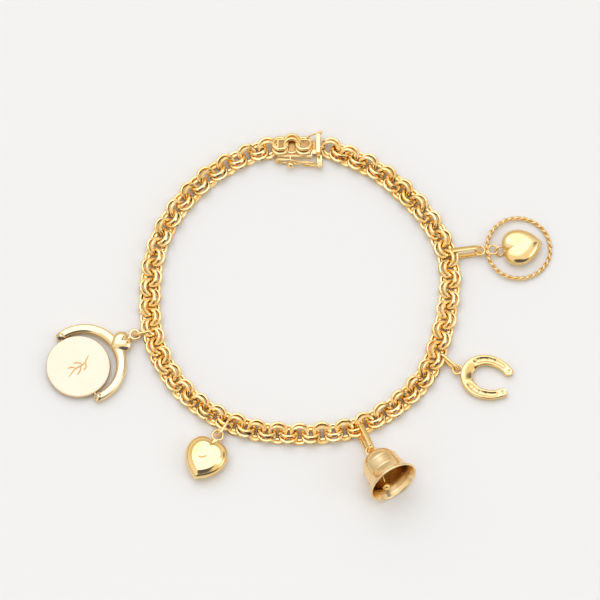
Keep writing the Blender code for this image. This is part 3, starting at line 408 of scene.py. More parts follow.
PLATE_SPAN = (-1.45 * MM, 2.75 * MM)
PLATE_HEIGHT = 2.6 * MM
LEAF_WEST = -2.7 * MM
LEAF_WIDTH = 2.4 * MM
LEAF_SPAN = (0.95 * MM, 1.25 * MM)
TIP_ARM = np.array(((1.3, 2.0, 1.6), (2.2, 2.55, 1.95), (3.3, 2.85, 2.25), (4.12, 3.0, 2.3))) * MM
TIP_ARM_WIRE = 0.42 * MM
TIP_BALL = 0.75 * MM
LUG_RADIUS = 0.75 * MM
LUG_WIRE = 0.5 * MM
LUG_TURN = 98.0
LUG_HEIGHT = 1.225 * MM
PIVOT = (3.94 * MM, -3.6 * MM, 1.32 * MM)
PIVOT_DIAMETER = 1.16 * MM
PIVOT_HEIGHT = 1.2 * MM
PIVOT_PIN = 0.5 * MM
PIVOT_ARM = 0.3 * MM
PIVOT_ARM_DROP = 0.4 * MM
PIVOT_ARM_HALF = 0.45  # share of the tube's diameter
PIVOT_PLAY = 0.1 * MM
PIVOT_EDGE = 0.08 * MM
LATCH_HEADING = 173.5
LATCH_LENGTH = 9.1 * MM
LATCH_WIRE = 0.5 * MM
LATCH_HEIGHT = 2.6 * MM
LATCH_WAIST = 0.75 * MM
LATCH_WAIST_AT = 3.8925 * MM
LATCH_FIRST_LOOP = 0.8


def laid(points, origin, heading=0.0, pitch=0.0):
    """Points of a piece's own frame put where it lies: turned by its pitch about its Y, then by
    its heading about the vertical, then moved to its origin."""
    a, b = np.radians((heading, pitch))
    level = np.array(((np.cos(a), -np.sin(a), 0.0), (np.sin(a), np.cos(a), 0.0), (0.0, 0.0, 1.0)))
    tip = np.array(((np.cos(b), 0.0, np.sin(b)), (0.0, 1.0, 0.0), (-np.sin(b), 0.0, np.cos(b))))
    return points @ (level @ tip).T + np.asarray(origin)


def moved(shapes, origin, heading=0.0, pitch=0.0):
    """The same for a list of shapes."""
    return [(laid(points, origin, heading, pitch), faces) for points, faces in shapes]


def round_about(turn):
    """Level unit directions (cos, sin, 0) at these angles."""
    return np.stack((np.cos(turn), np.sin(turn), np.zeros(len(turn))), -1)


def swept(path, side, section, closed=False, up=None):
    """A section carried along a path: path point + side times the section's first column
    + up times its second. Without an up, it is square to the path and to the side."""
    if up is None:
        ahead = np.roll(path, -1, axis=0) - np.roll(path, 1, axis=0)
        if not closed:
            ahead[0] = path[1] - path[0]
            ahead[-1] = path[-1] - path[-2]
        up = np.cross(side, ahead)
        up = up / np.linalg.norm(up, axis=1)[:, None]
    section = np.broadcast_to(section, (len(path),) + section.shape[-2:])
    points = path[:, None] + side[:, None] * section[..., :1] + up[:, None] * section[..., 1:]
    return shell(points, wrap_rows=closed)


def round_section(diameter, sides=14):
    """Points on a circle."""
    turn = np.linspace(0.0, 2 * np.pi, sides, endpoint=False)
    return np.stack((np.cos(turn), np.sin(turn)), -1) * diameter / 2


def oblong(width, height, corner, steps=5):
    """A rectangle about the origin whose corners are quarter circles, or cut off with 2 steps:
    corner centre + corner (cos, sin), a quarter turn further at each."""
    turn = np.linspace(0.0, np.pi / 2, steps)
    quarter = np.stack((np.cos(turn), np.sin(turn)), -1) * corner
    corners = []
    for k, (x, y) in enumerate(((1, 1), (-1, 1), (-1, -1), (1, -1))):
        a = k * np.pi / 2
        spun = quarter @ np.array(((np.cos(a), np.sin(a)), (-np.sin(a), np.cos(a))))
        corners.append(spun + (x * (width / 2 - corner), y * (height / 2 - corner)))
    return np.vstack(corners)


def block(low, high, edge, steps=4):
    """A box from one corner to the other whose edges are rounded, or cut off with 2 steps. Rows
    go up it, each the outline drawn in by edge (1 - sin) at edge (1 - cos) from an end."""
    low = np.asarray(low)
    high = np.asarray(high)
    size = high - low
    middle = (low + high) / 2
    turn = np.linspace(0.0, np.pi / 2, steps)
    inset = np.concatenate((1 - np.sin(turn), (1 - np.sin(turn))[::-1])) * edge
    height = np.concatenate((low[2] + (1 - np.cos(turn)) * edge, (high[2] - (1 - np.cos(turn)) * edge)[::-1]))
    outline = oblong(size[0], size[1], edge * 1.01, steps)
    reach = np.sign(outline)
    rows = outline[None] - reach[None] * inset[:, None, None]
    points = np.concatenate((rows, np.broadcast_to(height[:, None, None], rows.shape[:2] + (1,))), -1)
    return shell(points + (middle[0], middle[1], 0.0))


def rod(start, end, diameter, sides=20):
    """A straight round rod: a circle carried from its start to its end."""
    start = np.asarray(start, dtype=float)
    end = np.asarray(end, dtype=float)
    ahead = (end - start) / np.linalg.norm(end - start)
    side = np.cross(ahead, UP if abs(ahead[2]) < 0.9 else (0.0, 1.0, 0.0))
    side = side / np.linalg.norm(side)
    return swept(np.stack((start, end)), np.stack((side, side)), round_section(diameter, sides))


def ball(centre, diameter, steps=28):
    """A sphere: centre + radius (cos latitude (cos, sin) of the longitude, sin latitude)."""
    rise = np.linspace(-np.pi / 2, np.pi / 2, steps // 2 + 2)[1:-1]
    turn = np.linspace(0.0, 2 * np.pi, steps, endpoint=False)
    ring = round_about(turn)
    rows = ring[None] * np.cos(rise)[:, None, None] + UP * np.sin(rise)[:, None, None]
    points, faces = shell(rows * diameter / 2 + np.asarray(centre))
    points[-2:] = np.asarray(centre) + UP * np.array(((-1.0,), (1.0,))) * diameter / 2
    return points, faces


def ring(centre, radius, wire, along=(1.0, 0.0, 0.0), across=(0.0, 1.0, 0.0), steps=48):
    """A round ring in the plane of two directions."""
    along = np.array((along,))
    across = np.array((across,))
    return torus_rings(np.array((centre,)), along, across, np.cross(along, across), radius, wire, steps, 14)


def lug(x, facing):
    """A half ring standing on an end face: an arc about the face's middle, wider than half."""
    turn = np.radians(np.linspace(facing - LUG_TURN, facing + LUG_TURN, 25))
    out = np.stack((np.cos(turn), np.zeros(len(turn)), np.sin(turn)), -1)
    path = out * LUG_RADIUS + (x, 0.0, LUG_HEIGHT)
    return swept(path, out, round_section(LUG_WIRE))


def dress_ring(x, y, bow, height):
    """A ring of chain wire soldered into the box's top, high on one side and sunk on the other."""
    tilt = np.arctan(DRESS_SLOPE)
    across = (0.0, np.cos(tilt), bow * np.sin(tilt))
    return ring(np.array((x, y, height)) * MM, DRESS_RADIUS, DRESS_WIRE, (1.0, 0.0, 0.0), across)


def clasp_box():
    """The box: rounded outside, with a well sunk in its top. Rows run up its outside, over its
    rim and down into the well."""
    length = BOX_EAST - BOX_WEST
    outline = oblong(length, BOX_WIDTH, BOX_EDGE * 1.01)
    well = np.sign(outline) * (np.abs(outline) - BOX_RIM)
    turn = np.linspace(0.0, np.pi / 2, 4)
    rows = []
    for inset, height in zip((1 - np.sin(turn)) * BOX_EDGE, (1 - np.cos(turn)) * BOX_EDGE):
        rows.append((outline - np.sign(outline) * inset, height))
    for inset, height in zip((1 - np.cos(turn)) * BOX_EDGE, BOX_HEIGHT - (1 - np.sin(turn)) * BOX_EDGE):
        rows.append((outline - np.sign(outline) * inset, height))
    rows.append((well, BOX_HEIGHT))
    rows.append((well, BOX_FLOOR))
    points = np.stack([np.pad(flat, ((0, 0), (0, 1)), constant_values=height) for flat, height in rows])
    return shell(points + ((BOX_WEST + BOX_EAST) / 2, 0.0, 0.0))


def latch_wire():
    """The figure eight. Its half height is a hump of sine to the power 0.8 from the tube to its
    waist, and a half circle stretched from there to its tip."""
    start = PIVOT_DIAMETER / 2 - LATCH_WIRE / 3
    share = np.linspace(0.0, 1.0, 61)
    x = start + (LATCH_LENGTH - start) * (1 - np.cos(np.pi * share)) / 2
    half = (LATCH_HEIGHT - LATCH_WIRE) / 2
    waist = LATCH_WAIST / 2
    first = np.clip(np.sin(np.pi * np.clip((x - start) / (LATCH_WAIST_AT - start), 0, 1)), 0, 1)
    second = np.clip((x - LATCH_WAIST_AT) / (LATCH_LENGTH - LATCH_WAIST_AT), 0, 1)
    near = waist + (half * LATCH_FIRST_LOOP - waist) * first ** 0.8
    far = half * np.sqrt(np.clip(1 - (2 * second - 1) ** 2, 0, 1))
    z = np.where(x < LATCH_WAIST_AT, near, np.where(second < 0.5, np.maximum(far, waist), far))
    upper = np.stack((x, np.zeros(len(x)), z), -1)
    lower = upper[-2::-1] * (1.0, 1.0, -1.0)
    path = np.vstack((upper, lower))
    side = np.broadcast_to((0.0, 1.0, 0.0), path.shape)
    return swept(path, side, round_section(LATCH_WIRE))


clasp_gold = gold_finish("clasp_gold", BRIGHT_GOLD, DEEP_GOLD, 0.08, 0.10, 0.15)
# Painted shade: the well's lining and the throat block get a dull gold whose dullness is the metal's own and
# whose darkness is painted shade.
well_painted_shade_gold = gold_finish("well_painted_shade_gold", (0.62, 0.37, 0.13, 1.0), (0.40, 0.22, 0.07, 1.0), 0.34, 0.20)
dress = [dress_ring(*row) for row in DRESS_RINGS]
knob = [ball(KNOB, KNOB_DIAMETER), rod((KNOB[0], -BOX_WIDTH / 2 + BOX_RIM / 2, KNOB[2]), KNOB, KNOB_POST)]
box_shapes = [clasp_box(), ball(BEAD, BEAD_DIAMETER, 20), lug(BOX_WEST, 180.0)] + dress + knob
metal("clasp_box_dressed", moved(box_shapes, CLASP_ORIGIN), clasp_gold, "bracelet",
      ("clasp_box",))
lining = block((BOX_WEST + BOX_RIM, -BOX_WIDTH / 2 + BOX_RIM, BOX_FLOOR - LINING_OVERLAP),
               (BOX_EAST - BOX_RIM, BOX_WIDTH / 2 - BOX_RIM, BOX_FLOOR + LINING_RISE), 0.05 * MM)
# The throat block is a dark block of painted shade in the gap between the box and the plate.
throat = block((BOX_EAST - LINING_OVERLAP, THROAT_SHADE_BLOCK[0], THROAT_SHADE_BLOCK[2]),
               (PLATE_WEST, THROAT_SHADE_BLOCK[1], THROAT_SHADE_BLOCK[3]), 0.05 * MM)
metal("clasp_box_lining_painted_shade", moved([lining, throat], CLASP_ORIGIN), well_painted_shade_gold, "bracelet")

arm_curve = spline(TIP_ARM, 10)[0]
arm_side = np.broadcast_to((0.0, 0.0, 1.0), arm_curve.shape)
arm_foot = PIVOT[2] - PIVOT_HEIGHT / 2 - PIVOT_ARM_DROP
pin_top = PIVOT[2] + PIVOT_HEIGHT / 2 + PIVOT_PLAY
arm_half = PIVOT_DIAMETER * PIVOT_ARM_HALF
tongue_shapes = [
    block((PLATE_WEST, PLATE_SPAN[0], 0.0), (PLATE_EAST, PLATE_SPAN[1], PLATE_HEIGHT), 0.16 * MM),
    block((LEAF_WEST, -LEAF_WIDTH / 2, LEAF_SPAN[0]), (PLATE_WEST + 0.1 * MM, LEAF_WIDTH / 2, LEAF_SPAN[1]),
          0.08 * MM),
    swept(arm_curve, arm_side, round_section(TIP_ARM_WIRE)),
    ball(TIP_ARM[-1], TIP_BALL, 20),
    lug(PLATE_EAST, 0.0),
    block((PIVOT[0] - arm_half, PIVOT[1] - PIVOT_PIN / 2, arm_foot),
          (PIVOT[0] + arm_half, PLATE_SPAN[0] + 0.3 * MM, arm_foot + PIVOT_ARM), 0.08 * MM),
    rod((PIVOT[0], PIVOT[1], arm_foot + 0.1 * MM), (PIVOT[0], PIVOT[1], pin_top), PIVOT_PIN),
]
metal("clasp_tongue_plate", moved(tongue_shapes, CLASP_ORIGIN), clasp_gold, "bracelet",
      ("clasp_tongue",))


def turned_shape(profile, steps=96, closed=False):
    """A profile of radius and height turned about Z: radius (cos, sin) + height up. Without
    closed, a fan of triangles shuts it on the axis at both ends."""
    turn = np.linspace(0.0, 2 * np.pi, steps, endpoint=False)
    out = round_about(turn)
    profile = np.asarray(profile)
    return shell(out[None] * profile[:, None, :1] + UP * profile[:, None, 1:], wrap_rows=closed)


def pivot_tube():
    """A short tube: its profile runs up its outside and down its bore."""
    outer = PIVOT_DIAMETER / 2
    bore = PIVOT_PIN / 2 + PIVOT_PLAY
    half = PIVOT_HEIGHT / 2
    edge = PIVOT_EDGE
    profile = ((bore, -half), (outer - edge, -half), (outer, -half + edge), (outer, half - edge),
               (outer - edge, half), (bore, half))
    return turned_shape(profile, 32, True)


latch_place = (CLASP_ORIGIN + PIVOT, LATCH_HEADING)
metal("latch_wire", moved([pivot_tube(), latch_wire()], *latch_place), clasp_gold, "latch",
      ("clasp_latch",))

# ---- Spinner
# A pale satin gold disc turns on two pins between the ends of a half-ring yoke. The yoke is a
# band with a domed top, faceted blocks at its ends, and a small creased heart and an eye at its
# middle. A jump ring ties it to the chain.
SPINNER_PLACE = (np.array((-32.939, -3.8414, 0.0)) * MM, 211.0)
SPINNER_HOLD = (-29.439 * MM, -3.0414 * MM, 1.225 * MM)  # where its jump ring goes through the chain
SPINNER_MIDDLE = 1.07 * MM
DISC_REACH = 13.1 * MM
DISC_DIAMETER = 12.85 * MM
DISC_THICKNESS = 0.75 * MM
DISC_RIM = 0.14 * MM
DISC_PIN = 0.5 * MM
DISC_PIN_REACH = 0.8 * MM
SPRIG_CUT = 0.32 * MM
SPRIG = (  # lines of the cut sprig in millimetres from the disc's middle
    ((-2.9, -0.9), (-1.2, 0.1), (0.9, 0.2), (2.8, 1.0)),
    ((-1.7, -0.1), (-1.3, 0.8), (-0.5, 1.3)),
    ((-0.4, 0.2), (0.2, 1.0), (1.1, 1.4)),
    ((-0.9, 0.0), (-0.3, -0.7), (0.6, -1.0)),
    ((0.6, 0.2), (1.2, -0.5), (2.1, -0.7)),
)
YOKE_OFFSET = 1.2 * MM
YOKE_HALF_SPAN = 7.4 * MM
YOKE_WIDTH = (2.2 * MM, 1.6 * MM)
YOKE_TAPER = 1.6
YOKE_HEIGHT = 1.75 * MM
YOKE_THINNING = 0.12
YOKE_ASIDE = 0.15 * MM
YOKE_SETBACK = 0.2 * MM
YOKE_CAP = 1.9 * MM
YOKE_CAP_LENGTH = 1.9 * MM
YOKE_CAP_WIDTH = 1.5 * MM
YOKE_CAP_CUT = 0.45 * MM
YOKE_HEART = (4.2 * MM, 3.8 * MM, 2.2 * MM)
YOKE_HEART_RISE = 0.3 * MM
YOKE_HEART_VALLEY = 0.34
YOKE_HEART_LAYERS = np.array((  # share of the half height, share of the outline
    (-1.0, 0.7), (-0.7, 1.0), (0.30, 1.0), (0.62, 0.84), (0.86, 0.60), (0.97, 0.34), (1.0, 0.06),
))
SPINNER_EYE = (0.95 * MM, 0.64 * MM)
SPINNER_STEM = 0.7 * MM
JUMP_WIDTH = 1.85 * MM
JUMP_WIRE = 0.64 * MM
JUMP_LEAN = 72.0
YOKE_SECTION = np.array((
    (-1.0, -0.55), (-1.0, 0.25), (-0.92, 0.52), (-0.76, 0.72), (-0.52, 0.88), (-0.50, 0.90), (-0.20, 0.96),
    (0.15, 1.0), (0.45, 0.98), (0.68, 0.88), (0.86, 0.66), (0.97, 0.35), (1.0, 0.0), (1.0, -0.55),
    (0.80, -0.90), (0.45, -1.0), (-0.45, -1.0), (-0.80, -0.90),
))
HEART_STATIONS = np.array((  # handle, point, handle as shares: along the length, across the width
    ((0.0, 0.0), (0.0, 0.0), (-0.9, 0.03)),
    ((-1.0, 0.11), (-1.0, 0.16), (-1.0, 0.35)),
    ((0.086, 0.5), (0.312, 0.5), (0.625, 0.5)),
    ((0.875, 0.24), (1.0, 0.0), (1.0, 0.0)),
))
HEART_CLEFT = 0.09
HEART_MIDDLE = 0.40
VALLEY_HALF_WIDTH = 0.09
VALLEY_REACH = 0.42


def heart_outline(width, length, steps=14):
    """A heart's outline from its cleft at the origin round to its tip at +X and back: cubic
    curves through the stations, whose backward shares are scaled by the cleft's depth."""
    stations = HEART_STATIONS.copy()
    stations[..., 0] = np.where(stations[..., 0] < 0, stations[..., 0] * HEART_CLEFT, stations[..., 0])
    stations = stations * (length, width)
    side = cubic(stations[:-1, 1], stations[:-1, 2], stations[1:, 0], stations[1:, 1], steps)
    return np.vstack((side, side[-2:0:-1] * (1.0, -1.0)))


def heart_body(width, length, profile, valley=0.0):
    """Level heart sections, each the outline drawn in to a share about the heart's middle. The
    valley lowers the top by a share of its height times a bell curve across the heart, which
    fades from the cleft to the middle."""
    outline = heart_outline(width, length)
    middle = np.array((length * HEART_MIDDLE, 0.0))
    profile = np.asarray(profile)
    rows = middle + (outline - middle) * profile[:, None, 1:]
    height = np.broadcast_to(profile[:, None, :1], rows.shape[:2] + (1,)).copy()
    points, faces = shell(np.concatenate((rows, height), -1))
    across = np.exp(-(points[:, 1] / (VALLEY_HALF_WIDTH * width)) ** 2)
    dip = across * np.clip(1.0 - points[:, 0] / (VALLEY_REACH * length), 0.0, 1.2)
    points[:, 2] = np.where(points[:, 2] > 0, points[:, 2] * (1.0 - valley * dip), points[:, 2])
    return points, faces


def stroke(points, width, height):
    """A cut line on a face: a thin sliver along a curve, whose half width is 0.35 of the full
    one at its ends and rises to it as a sine."""
    curve = spline(np.asarray(points) * MM, 8)[0]
    ahead = np.gradient(curve, axis=0)
    side = np.stack((-ahead[:, 1], ahead[:, 0]), -1) / np.linalg.norm(ahead, axis=1)[:, None]
    share = np.linspace(0.0, 1.0, len(curve))
    half = width / 2 * (0.35 + 0.65 * np.sin(np.pi * share) ** 0.7)
    low = np.full((len(curve), 1), height)
    left = np.hstack((curve + side * half[:, None], low))
    right = np.hstack((curve - side * half[:, None], low))
    crest = np.hstack((curve, low + 0.012 * MM))
    return shell(np.stack((left, crest, right), 1))


def link(hold, eye, width, section, lean):
    """A stretched ring from a point in the chain to an eye: straight sides between two half
    rings. It leans about its length, and the section's first column runs outwards."""
    hold = np.asarray(hold)
    eye = np.asarray(eye)
    run = eye - hold
    length = np.linalg.norm(run)
    turn = np.linspace(-np.pi / 2, np.pi / 2, 15)
    arc = round_about(turn)
    half = np.array((max(length / 2 - width / 2, 0.0), 0.0, 0.0))
    out = np.vstack((arc, -arc))
    path = np.vstack((arc * width / 2 + half, -arc * width / 2 - half))
    a = np.radians(lean)
    roll = np.array(((1.0, 0.0, 0.0), (0.0, np.cos(a), np.sin(a)), (0.0, -np.sin(a), np.cos(a))))
    up = np.broadcast_to(UP, path.shape)
    shape = swept(path @ roll, out @ roll, section, True, up @ roll)
    heading = np.degrees(np.arctan2(run[1], run[0]))
    pitch = -np.degrees(np.arctan2(run[2], np.hypot(run[0], run[1])))
    return moved([shape], (hold + eye) / 2, heading, pitch)


def hang(name, node, hold, eye, width, section, lean):
    """A link from the chain to an eye as one object."""
    metal(name, link(hold, eye, width, section, lean), ring_gold, "bracelet", (node,))


def spinner_yoke():
    """The yoke: its section carried round an arc about the disc's middle, narrower towards the
    ends, then its end blocks, heart, stem and eye."""
    radius = np.hypot(YOKE_OFFSET, YOKE_HALF_SPAN)
    end = np.arctan2(YOKE_HALF_SPAN, YOKE_OFFSET)
    turn = np.linspace(end, 2 * np.pi - end, 73)
    out = round_about(turn)
    centre = np.array((DISC_REACH - YOKE_OFFSET, YOKE_ASIDE, SPINNER_MIDDLE))
    along = np.abs(np.linspace(-1.0, 1.0, len(turn))) ** YOKE_TAPER
    width = YOKE_WIDTH[0] + (YOKE_WIDTH[1] - YOKE_WIDTH[0]) * along
    height = YOKE_HEIGHT * (1.0 - YOKE_THINNING * along)
    section = YOKE_SECTION[None] * np.stack((width, height), -1)[:, None] / 2
    band = swept(centre + out * radius, out, section, up=np.broadcast_to(UP, out.shape))
    half_cap = np.array((YOKE_CAP_LENGTH, YOKE_CAP_WIDTH, YOKE_CAP)) / 2
    caps = []
    for side in (-1, 1):
        spot = np.array((DISC_REACH - YOKE_SETBACK, side * YOKE_HALF_SPAN + YOKE_ASIDE, SPINNER_MIDDLE))
        caps.append(block(spot - half_cap, spot + half_cap, YOKE_CAP_CUT, 2))
    width, length, thick = YOKE_HEART
    layers = YOKE_HEART_LAYERS * (thick / 2, 1.0)
    cleft = DISC_REACH - YOKE_OFFSET - radius + YOKE_WIDTH[0] / 2 - length
    heart = moved([heart_body(width, length, layers, YOKE_HEART_VALLEY)],
                  (cleft, 0.0, SPINNER_MIDDLE + YOKE_HEART_RISE))
    stem = rod((SPINNER_EYE[0], 0.0, SPINNER_MIDDLE), (cleft + length / 3, 0.0, SPINNER_MIDDLE), SPINNER_STEM)
    eye = ring((0.0, 0.0, SPINNER_MIDDLE), *SPINNER_EYE)
    return [band, stem, eye] + caps + heart


def spinner_disc():
    """The disc with its rounded rim, and its two pins."""
    half = DISC_THICKNESS / 2
    radius = DISC_DIAMETER / 2
    face = [(radius * 0.02, half), (radius - 2.5 * DISC_RIM, half), (radius - 2 * DISC_RIM, half),
            (radius - 0.6 * DISC_RIM, half - 0.5 * DISC_RIM), (radius, half - 1.6 * DISC_RIM)]
    profile = [(reach, -height) for reach, height in face] + face[::-1]
    pin = radius + DISC_PIN_REACH
    return [turned_shape(profile, 128), rod((0.0, -pin, 0.0), (0.0, pin, 0.0), DISC_PIN)]


yoke_gold = gold_finish("yoke_gold", (0.96, 0.75, 0.43, 1.0), (0.95, 0.71, 0.36, 1.0), 0.10, 0.10, 0.06)
disc_gold = gold_finish("disc_gold", (0.76, 0.565, 0.35, 1.0), (0.75, 0.55, 0.335, 1.0), 0.24, 0.015)
# Painted shade: a dark gold for the cut lines, which are raised slivers standing in for the shade in engraved
# grooves.
cut_line_painted_shade_gold = gold_finish("cut_line_painted_shade_gold", (0.58, 0.35, 0.11, 1.0), (0.50, 0.28, 0.08, 1.0), 0.30, 0.15)
metal("spinner_yoke_band", moved(spinner_yoke(), *SPINNER_PLACE), yoke_gold, "bracelet",
      ("spinner_yoke",), 30.0)
disc_place = (laid(np.array((DISC_REACH, 0.0, SPINNER_MIDDLE)), *SPINNER_PLACE), SPINNER_PLACE[1])
metal("spinner_disc_face", moved(spinner_disc(), *disc_place), disc_gold, "disc",
      ("spinner_disc",))
# The disc's sprig: cut lines drawn on its face as dark slivers of painted shade.
strokes = [stroke(line, SPRIG_CUT, DISC_THICKNESS / 2) for line in SPRIG]
metal("disc_sprig", moved(strokes, *disc_place), cut_line_painted_shade_gold, "disc")
jump_section = round_section(JUMP_WIRE)
spinner_eye = laid(np.array((0.0, 0.0, SPINNER_MIDDLE)), *SPINNER_PLACE)
hang("spinner_jump_ring", "spinner_ring", SPINNER_HOLD, spinner_eye, JUMP_WIDTH, jump_section, JUMP_LEAN)

# ---- Flat-faced heart
# A hollow puffed heart of deep gold with a rounded side, a crisp bevel and a flat heart-shaped
# face. A thick eye is soldered into its cleft and hangs on a round jump ring.
HEART_PLACE = (np.array((-16.339, -25.0914, 0.0)) * MM, 244.6)
HEART_HOLD = (-14.239 * MM, -21.7414 * MM, 1.225 * MM)
HEART_CENTRE = 1.62 * MM
HEART_SIZE = (8.45 * MM, 8.25 * MM)
HEART_SHIFT = -0.19 * MM
HEART_EYE = (1.05 * MM, 0.58 * MM)
HEART_EYE_GAP = 0.26 * MM
HEART_STEM = (1.4 * MM, 1.15 * MM)  # its reach into the heart, its diameter
HEART_PROFILE = np.array((  # height in millimetres, share of the outline
    (-1.60, 0.55), (-1.50, 0.70), (-1.20, 0.83), (-0.75, 0.93), (-0.20, 0.99), (0.20, 1.0),
    (0.60, 0.975), (0.90, 0.93), (1.08, 0.88), (1.16, 0.84), (1.18, 0.825), (1.60, 0.67),
))
TICK = ((5.85, -1.45), (5.90, -0.92), (5.62, -0.42), (5.12, 0.12))
TICK_CUT = 0.42 * MM
TICK_HEIGHT = 3.22 * MM

heart_gold = gold_finish("heart_gold", BRIGHT_GOLD, DEEP_GOLD, 0.09, 0.08, 0.10)
heart_cleft = HEART_EYE[0] + HEART_EYE[1] / 2 + HEART_SIZE[1] * HEART_CLEFT / 2 + HEART_EYE_GAP
heart_layers = HEART_PROFILE * (MM, 1.0)
heart_shapes = moved([heart_body(*HEART_SIZE, heart_layers)], (heart_cleft, HEART_SHIFT, HEART_CENTRE))
heart_shapes.append(ring((0.0, 0.0, HEART_CENTRE), *HEART_EYE))
heart_shapes.append(rod((HEART_EYE[0], 0.0, HEART_CENTRE),
                        (heart_cleft + HEART_STEM[0], HEART_SHIFT, HEART_CENTRE), HEART_STEM[1]))
metal("flat_faced_heart", moved(heart_shapes, *HEART_PLACE), heart_gold, "bracelet",
      ("heart_charm",), 24.0)
# A cut tick on the heart's face, drawn as a dark sliver of painted shade.
tick = stroke(TICK, TICK_CUT, TICK_HEIGHT)
metal("heart_tick", moved([tick], *HEART_PLACE), cut_line_painted_shade_gold, "bracelet")
heart_eye = laid(np.array((0.0, 0.0, HEART_CENTRE)), *HEART_PLACE)
hang("heart_jump_ring", "heart_ring", HEART_HOLD, heart_eye, JUMP_WIDTH, jump_section, JUMP_LEAN)

# ---- Bell
# A cast gold bell turned on a lathe, satin outside with faint rings, darker inside, where a skin of painted
# shade lines its hollow. It lies on its lip and its shoulder. A clapper with a round weight swings on a bar
# inside. Its eye hangs on a bail bent from flat strip.
BELL_PLACE = (np.array((18.561, -35.7414, 4.8902)) * MM, -58.0, -105.19)
BELL_LIFT = np.array((0.1, -0.25, 0.30)) * MM
BELL_HOLD = (11.561 * MM, -22.7414 * MM, 1.29 * MM)
BELL_HEIGHT = 7.9 * MM
BELL_RADIUS = 5.2 * MM
BELL_OUTSIDE = np.array((  # share of the mouth's radius, share of the height from the mouth
    (0.004, 1.0), (0.10, 0.998), (0.20, 0.985), (0.32, 0.965), (0.42, 0.94), (0.51, 0.905), (0.575, 0.865),
    (0.625, 0.82), (0.665, 0.765), (0.70, 0.70), (0.715, 0.668), (0.742, 0.660), (0.748, 0.640),
    (0.735, 0.630), (0.750, 0.56), (0.762, 0.49), (0.778, 0.41), (0.797, 0.335), (0.79, 0.325), (0.82, 0.26),
    (0.855, 0.195), (0.90, 0.13), (0.95, 0.080), (0.985, 0.050), (1.0, 0.030), (0.995, 0.008), (0.975, 0.0),
))
BELL_INSIDE = np.array((
    (0.950, 0.0), (0.930, 0.010), (0.895, 0.050), (0.845, 0.12), (0.800, 0.185), (0.765, 0.25), (0.742, 0.33),
    (0.725, 0.42), (0.700, 0.54), (0.665, 0.64), (0.620, 0.72), (0.540, 0.80), (0.420, 0.865), (0.250, 0.915),
    (0.004, 0.94),
))
# The darker skin is painted shade inside the bell's hollow.
SKIN_FROM = 3  # row of the inside where its darker skin starts
SKIN_SHIFT = np.array(((0.03, 0.02), (0.03, 0.03))) * MM
TURNED_SCALE = 1500.0
PATCH_SCALE = 260.0
BELL_EYE = (0.93 * MM, 0.52 * MM)
BELL_EYE_HEIGHT = 8.7 * MM
BAR_HEIGHT = 6.0 * MM
BAR_HEADING = 206.0
BAR_WIRE = 0.5 * MM
BAR_HALF = 3.2 * MM
CLAPPER_LEAN = -31.21
CLAPPER_EYE = (0.56 * MM, 0.42 * MM)
CLAPPER_ROD = 0.45 * MM
CLAPPER_LENGTH = 5.3 * MM
CLAPPER_BALL = 1.75 * MM
STRAP = 1.1 * MM
STRAP_THICKNESS = 0.42 * MM
STRAP_CORNER = 0.12 * MM
STRAP_LEAN = 64.0
BELL_BAIL_WIDTH = 1.95 * MM


def turned_finish(name, bright, deep, roughness, origin, heading, pitch):
    """Satin gold with faint rings about a piece's own axis: the Object coordinates are turned
    into its frame, and noise along the axis, mixed with slow patches, bends the surface."""
    material = gold_finish(name, bright, deep, roughness, 0.03)
    tree = material.node_tree
    start = Socket(tree)
    spot = start.node("ShaderNodeTexCoord", output="Object")
    turn = (0.0, np.radians(pitch), np.radians(heading))
    own = start.node("ShaderNodeMapping", {"vector_type": "TEXTURE"},
                     {"Vector": spot, "Location": tuple(origin), "Rotation": turn})
    height = start.node("ShaderNodeSeparateXYZ", inputs={0: own}, output=2)
    lines = start.node("ShaderNodeTexNoise", {"noise_dimensions": "1D"},
                       {"W": height, "Scale": TURNED_SCALE, "Detail": 1.0})
    patches = start.node("ShaderNodeTexNoise", inputs={"Vector": own, "Scale": PATCH_SCALE, "Detail": 1.0})
    relief = lines * 0.55 + patches * 0.45
    bump = start.node("ShaderNodeBump", inputs={"Height": relief, "Strength": 0.05, "Distance": 0.06 * MM})
    tree.links.new(bump.socket, tree.nodes["Principled BSDF"].inputs["Normal"])
    return material


bell_gold = turned_finish("bell_gold", (0.96, 0.71, 0.38, 1.0), (0.94, 0.65, 0.30, 1.0), 0.20, *BELL_PLACE)
bell_scale = (BELL_RADIUS, BELL_HEIGHT)
bell_profile = spline(np.vstack((BELL_OUTSIDE, BELL_INSIDE)) * bell_scale, 3)[0]
shell_place = (BELL_PLACE[0] + BELL_LIFT,) + BELL_PLACE[1:]
bar_turn = np.radians(BAR_HEADING)
bar_way = np.array((-np.sin(bar_turn), np.cos(bar_turn), 0.0)) * BAR_HALF
bell_shapes = [
    ring((0.0, 0.0, BELL_EYE_HEIGHT), *BELL_EYE, (0.0, 1.0, 0.0), (0.0, 0.0, 1.0)),
    rod(UP * BAR_HEIGHT - bar_way, UP * BAR_HEIGHT + bar_way, BAR_WIRE),
]
bell_shapes = moved(bell_shapes, *BELL_PLACE) + moved([turned_shape(bell_profile)], *shell_place)
metal("bell_turned", bell_shapes, bell_gold, "bracelet", ("bell",), 50.0)


def inner_shade_skin():
    """A thin closed skin over the bell's inside, which carries its painted shade: the inside's profile
    shifted into the bell, then back along itself shifted into the wall, turned about the axis."""
    inside = spline(BELL_INSIDE[SKIN_FROM:] * bell_scale, 3)[0]
    profile = np.vstack((inside - SKIN_SHIFT[0], inside[::-1] + SKIN_SHIFT[1]))
    profile[:, 0] = np.maximum(profile[:, 0], 0.01 * MM)
    return turned_shape(profile, closed=True)
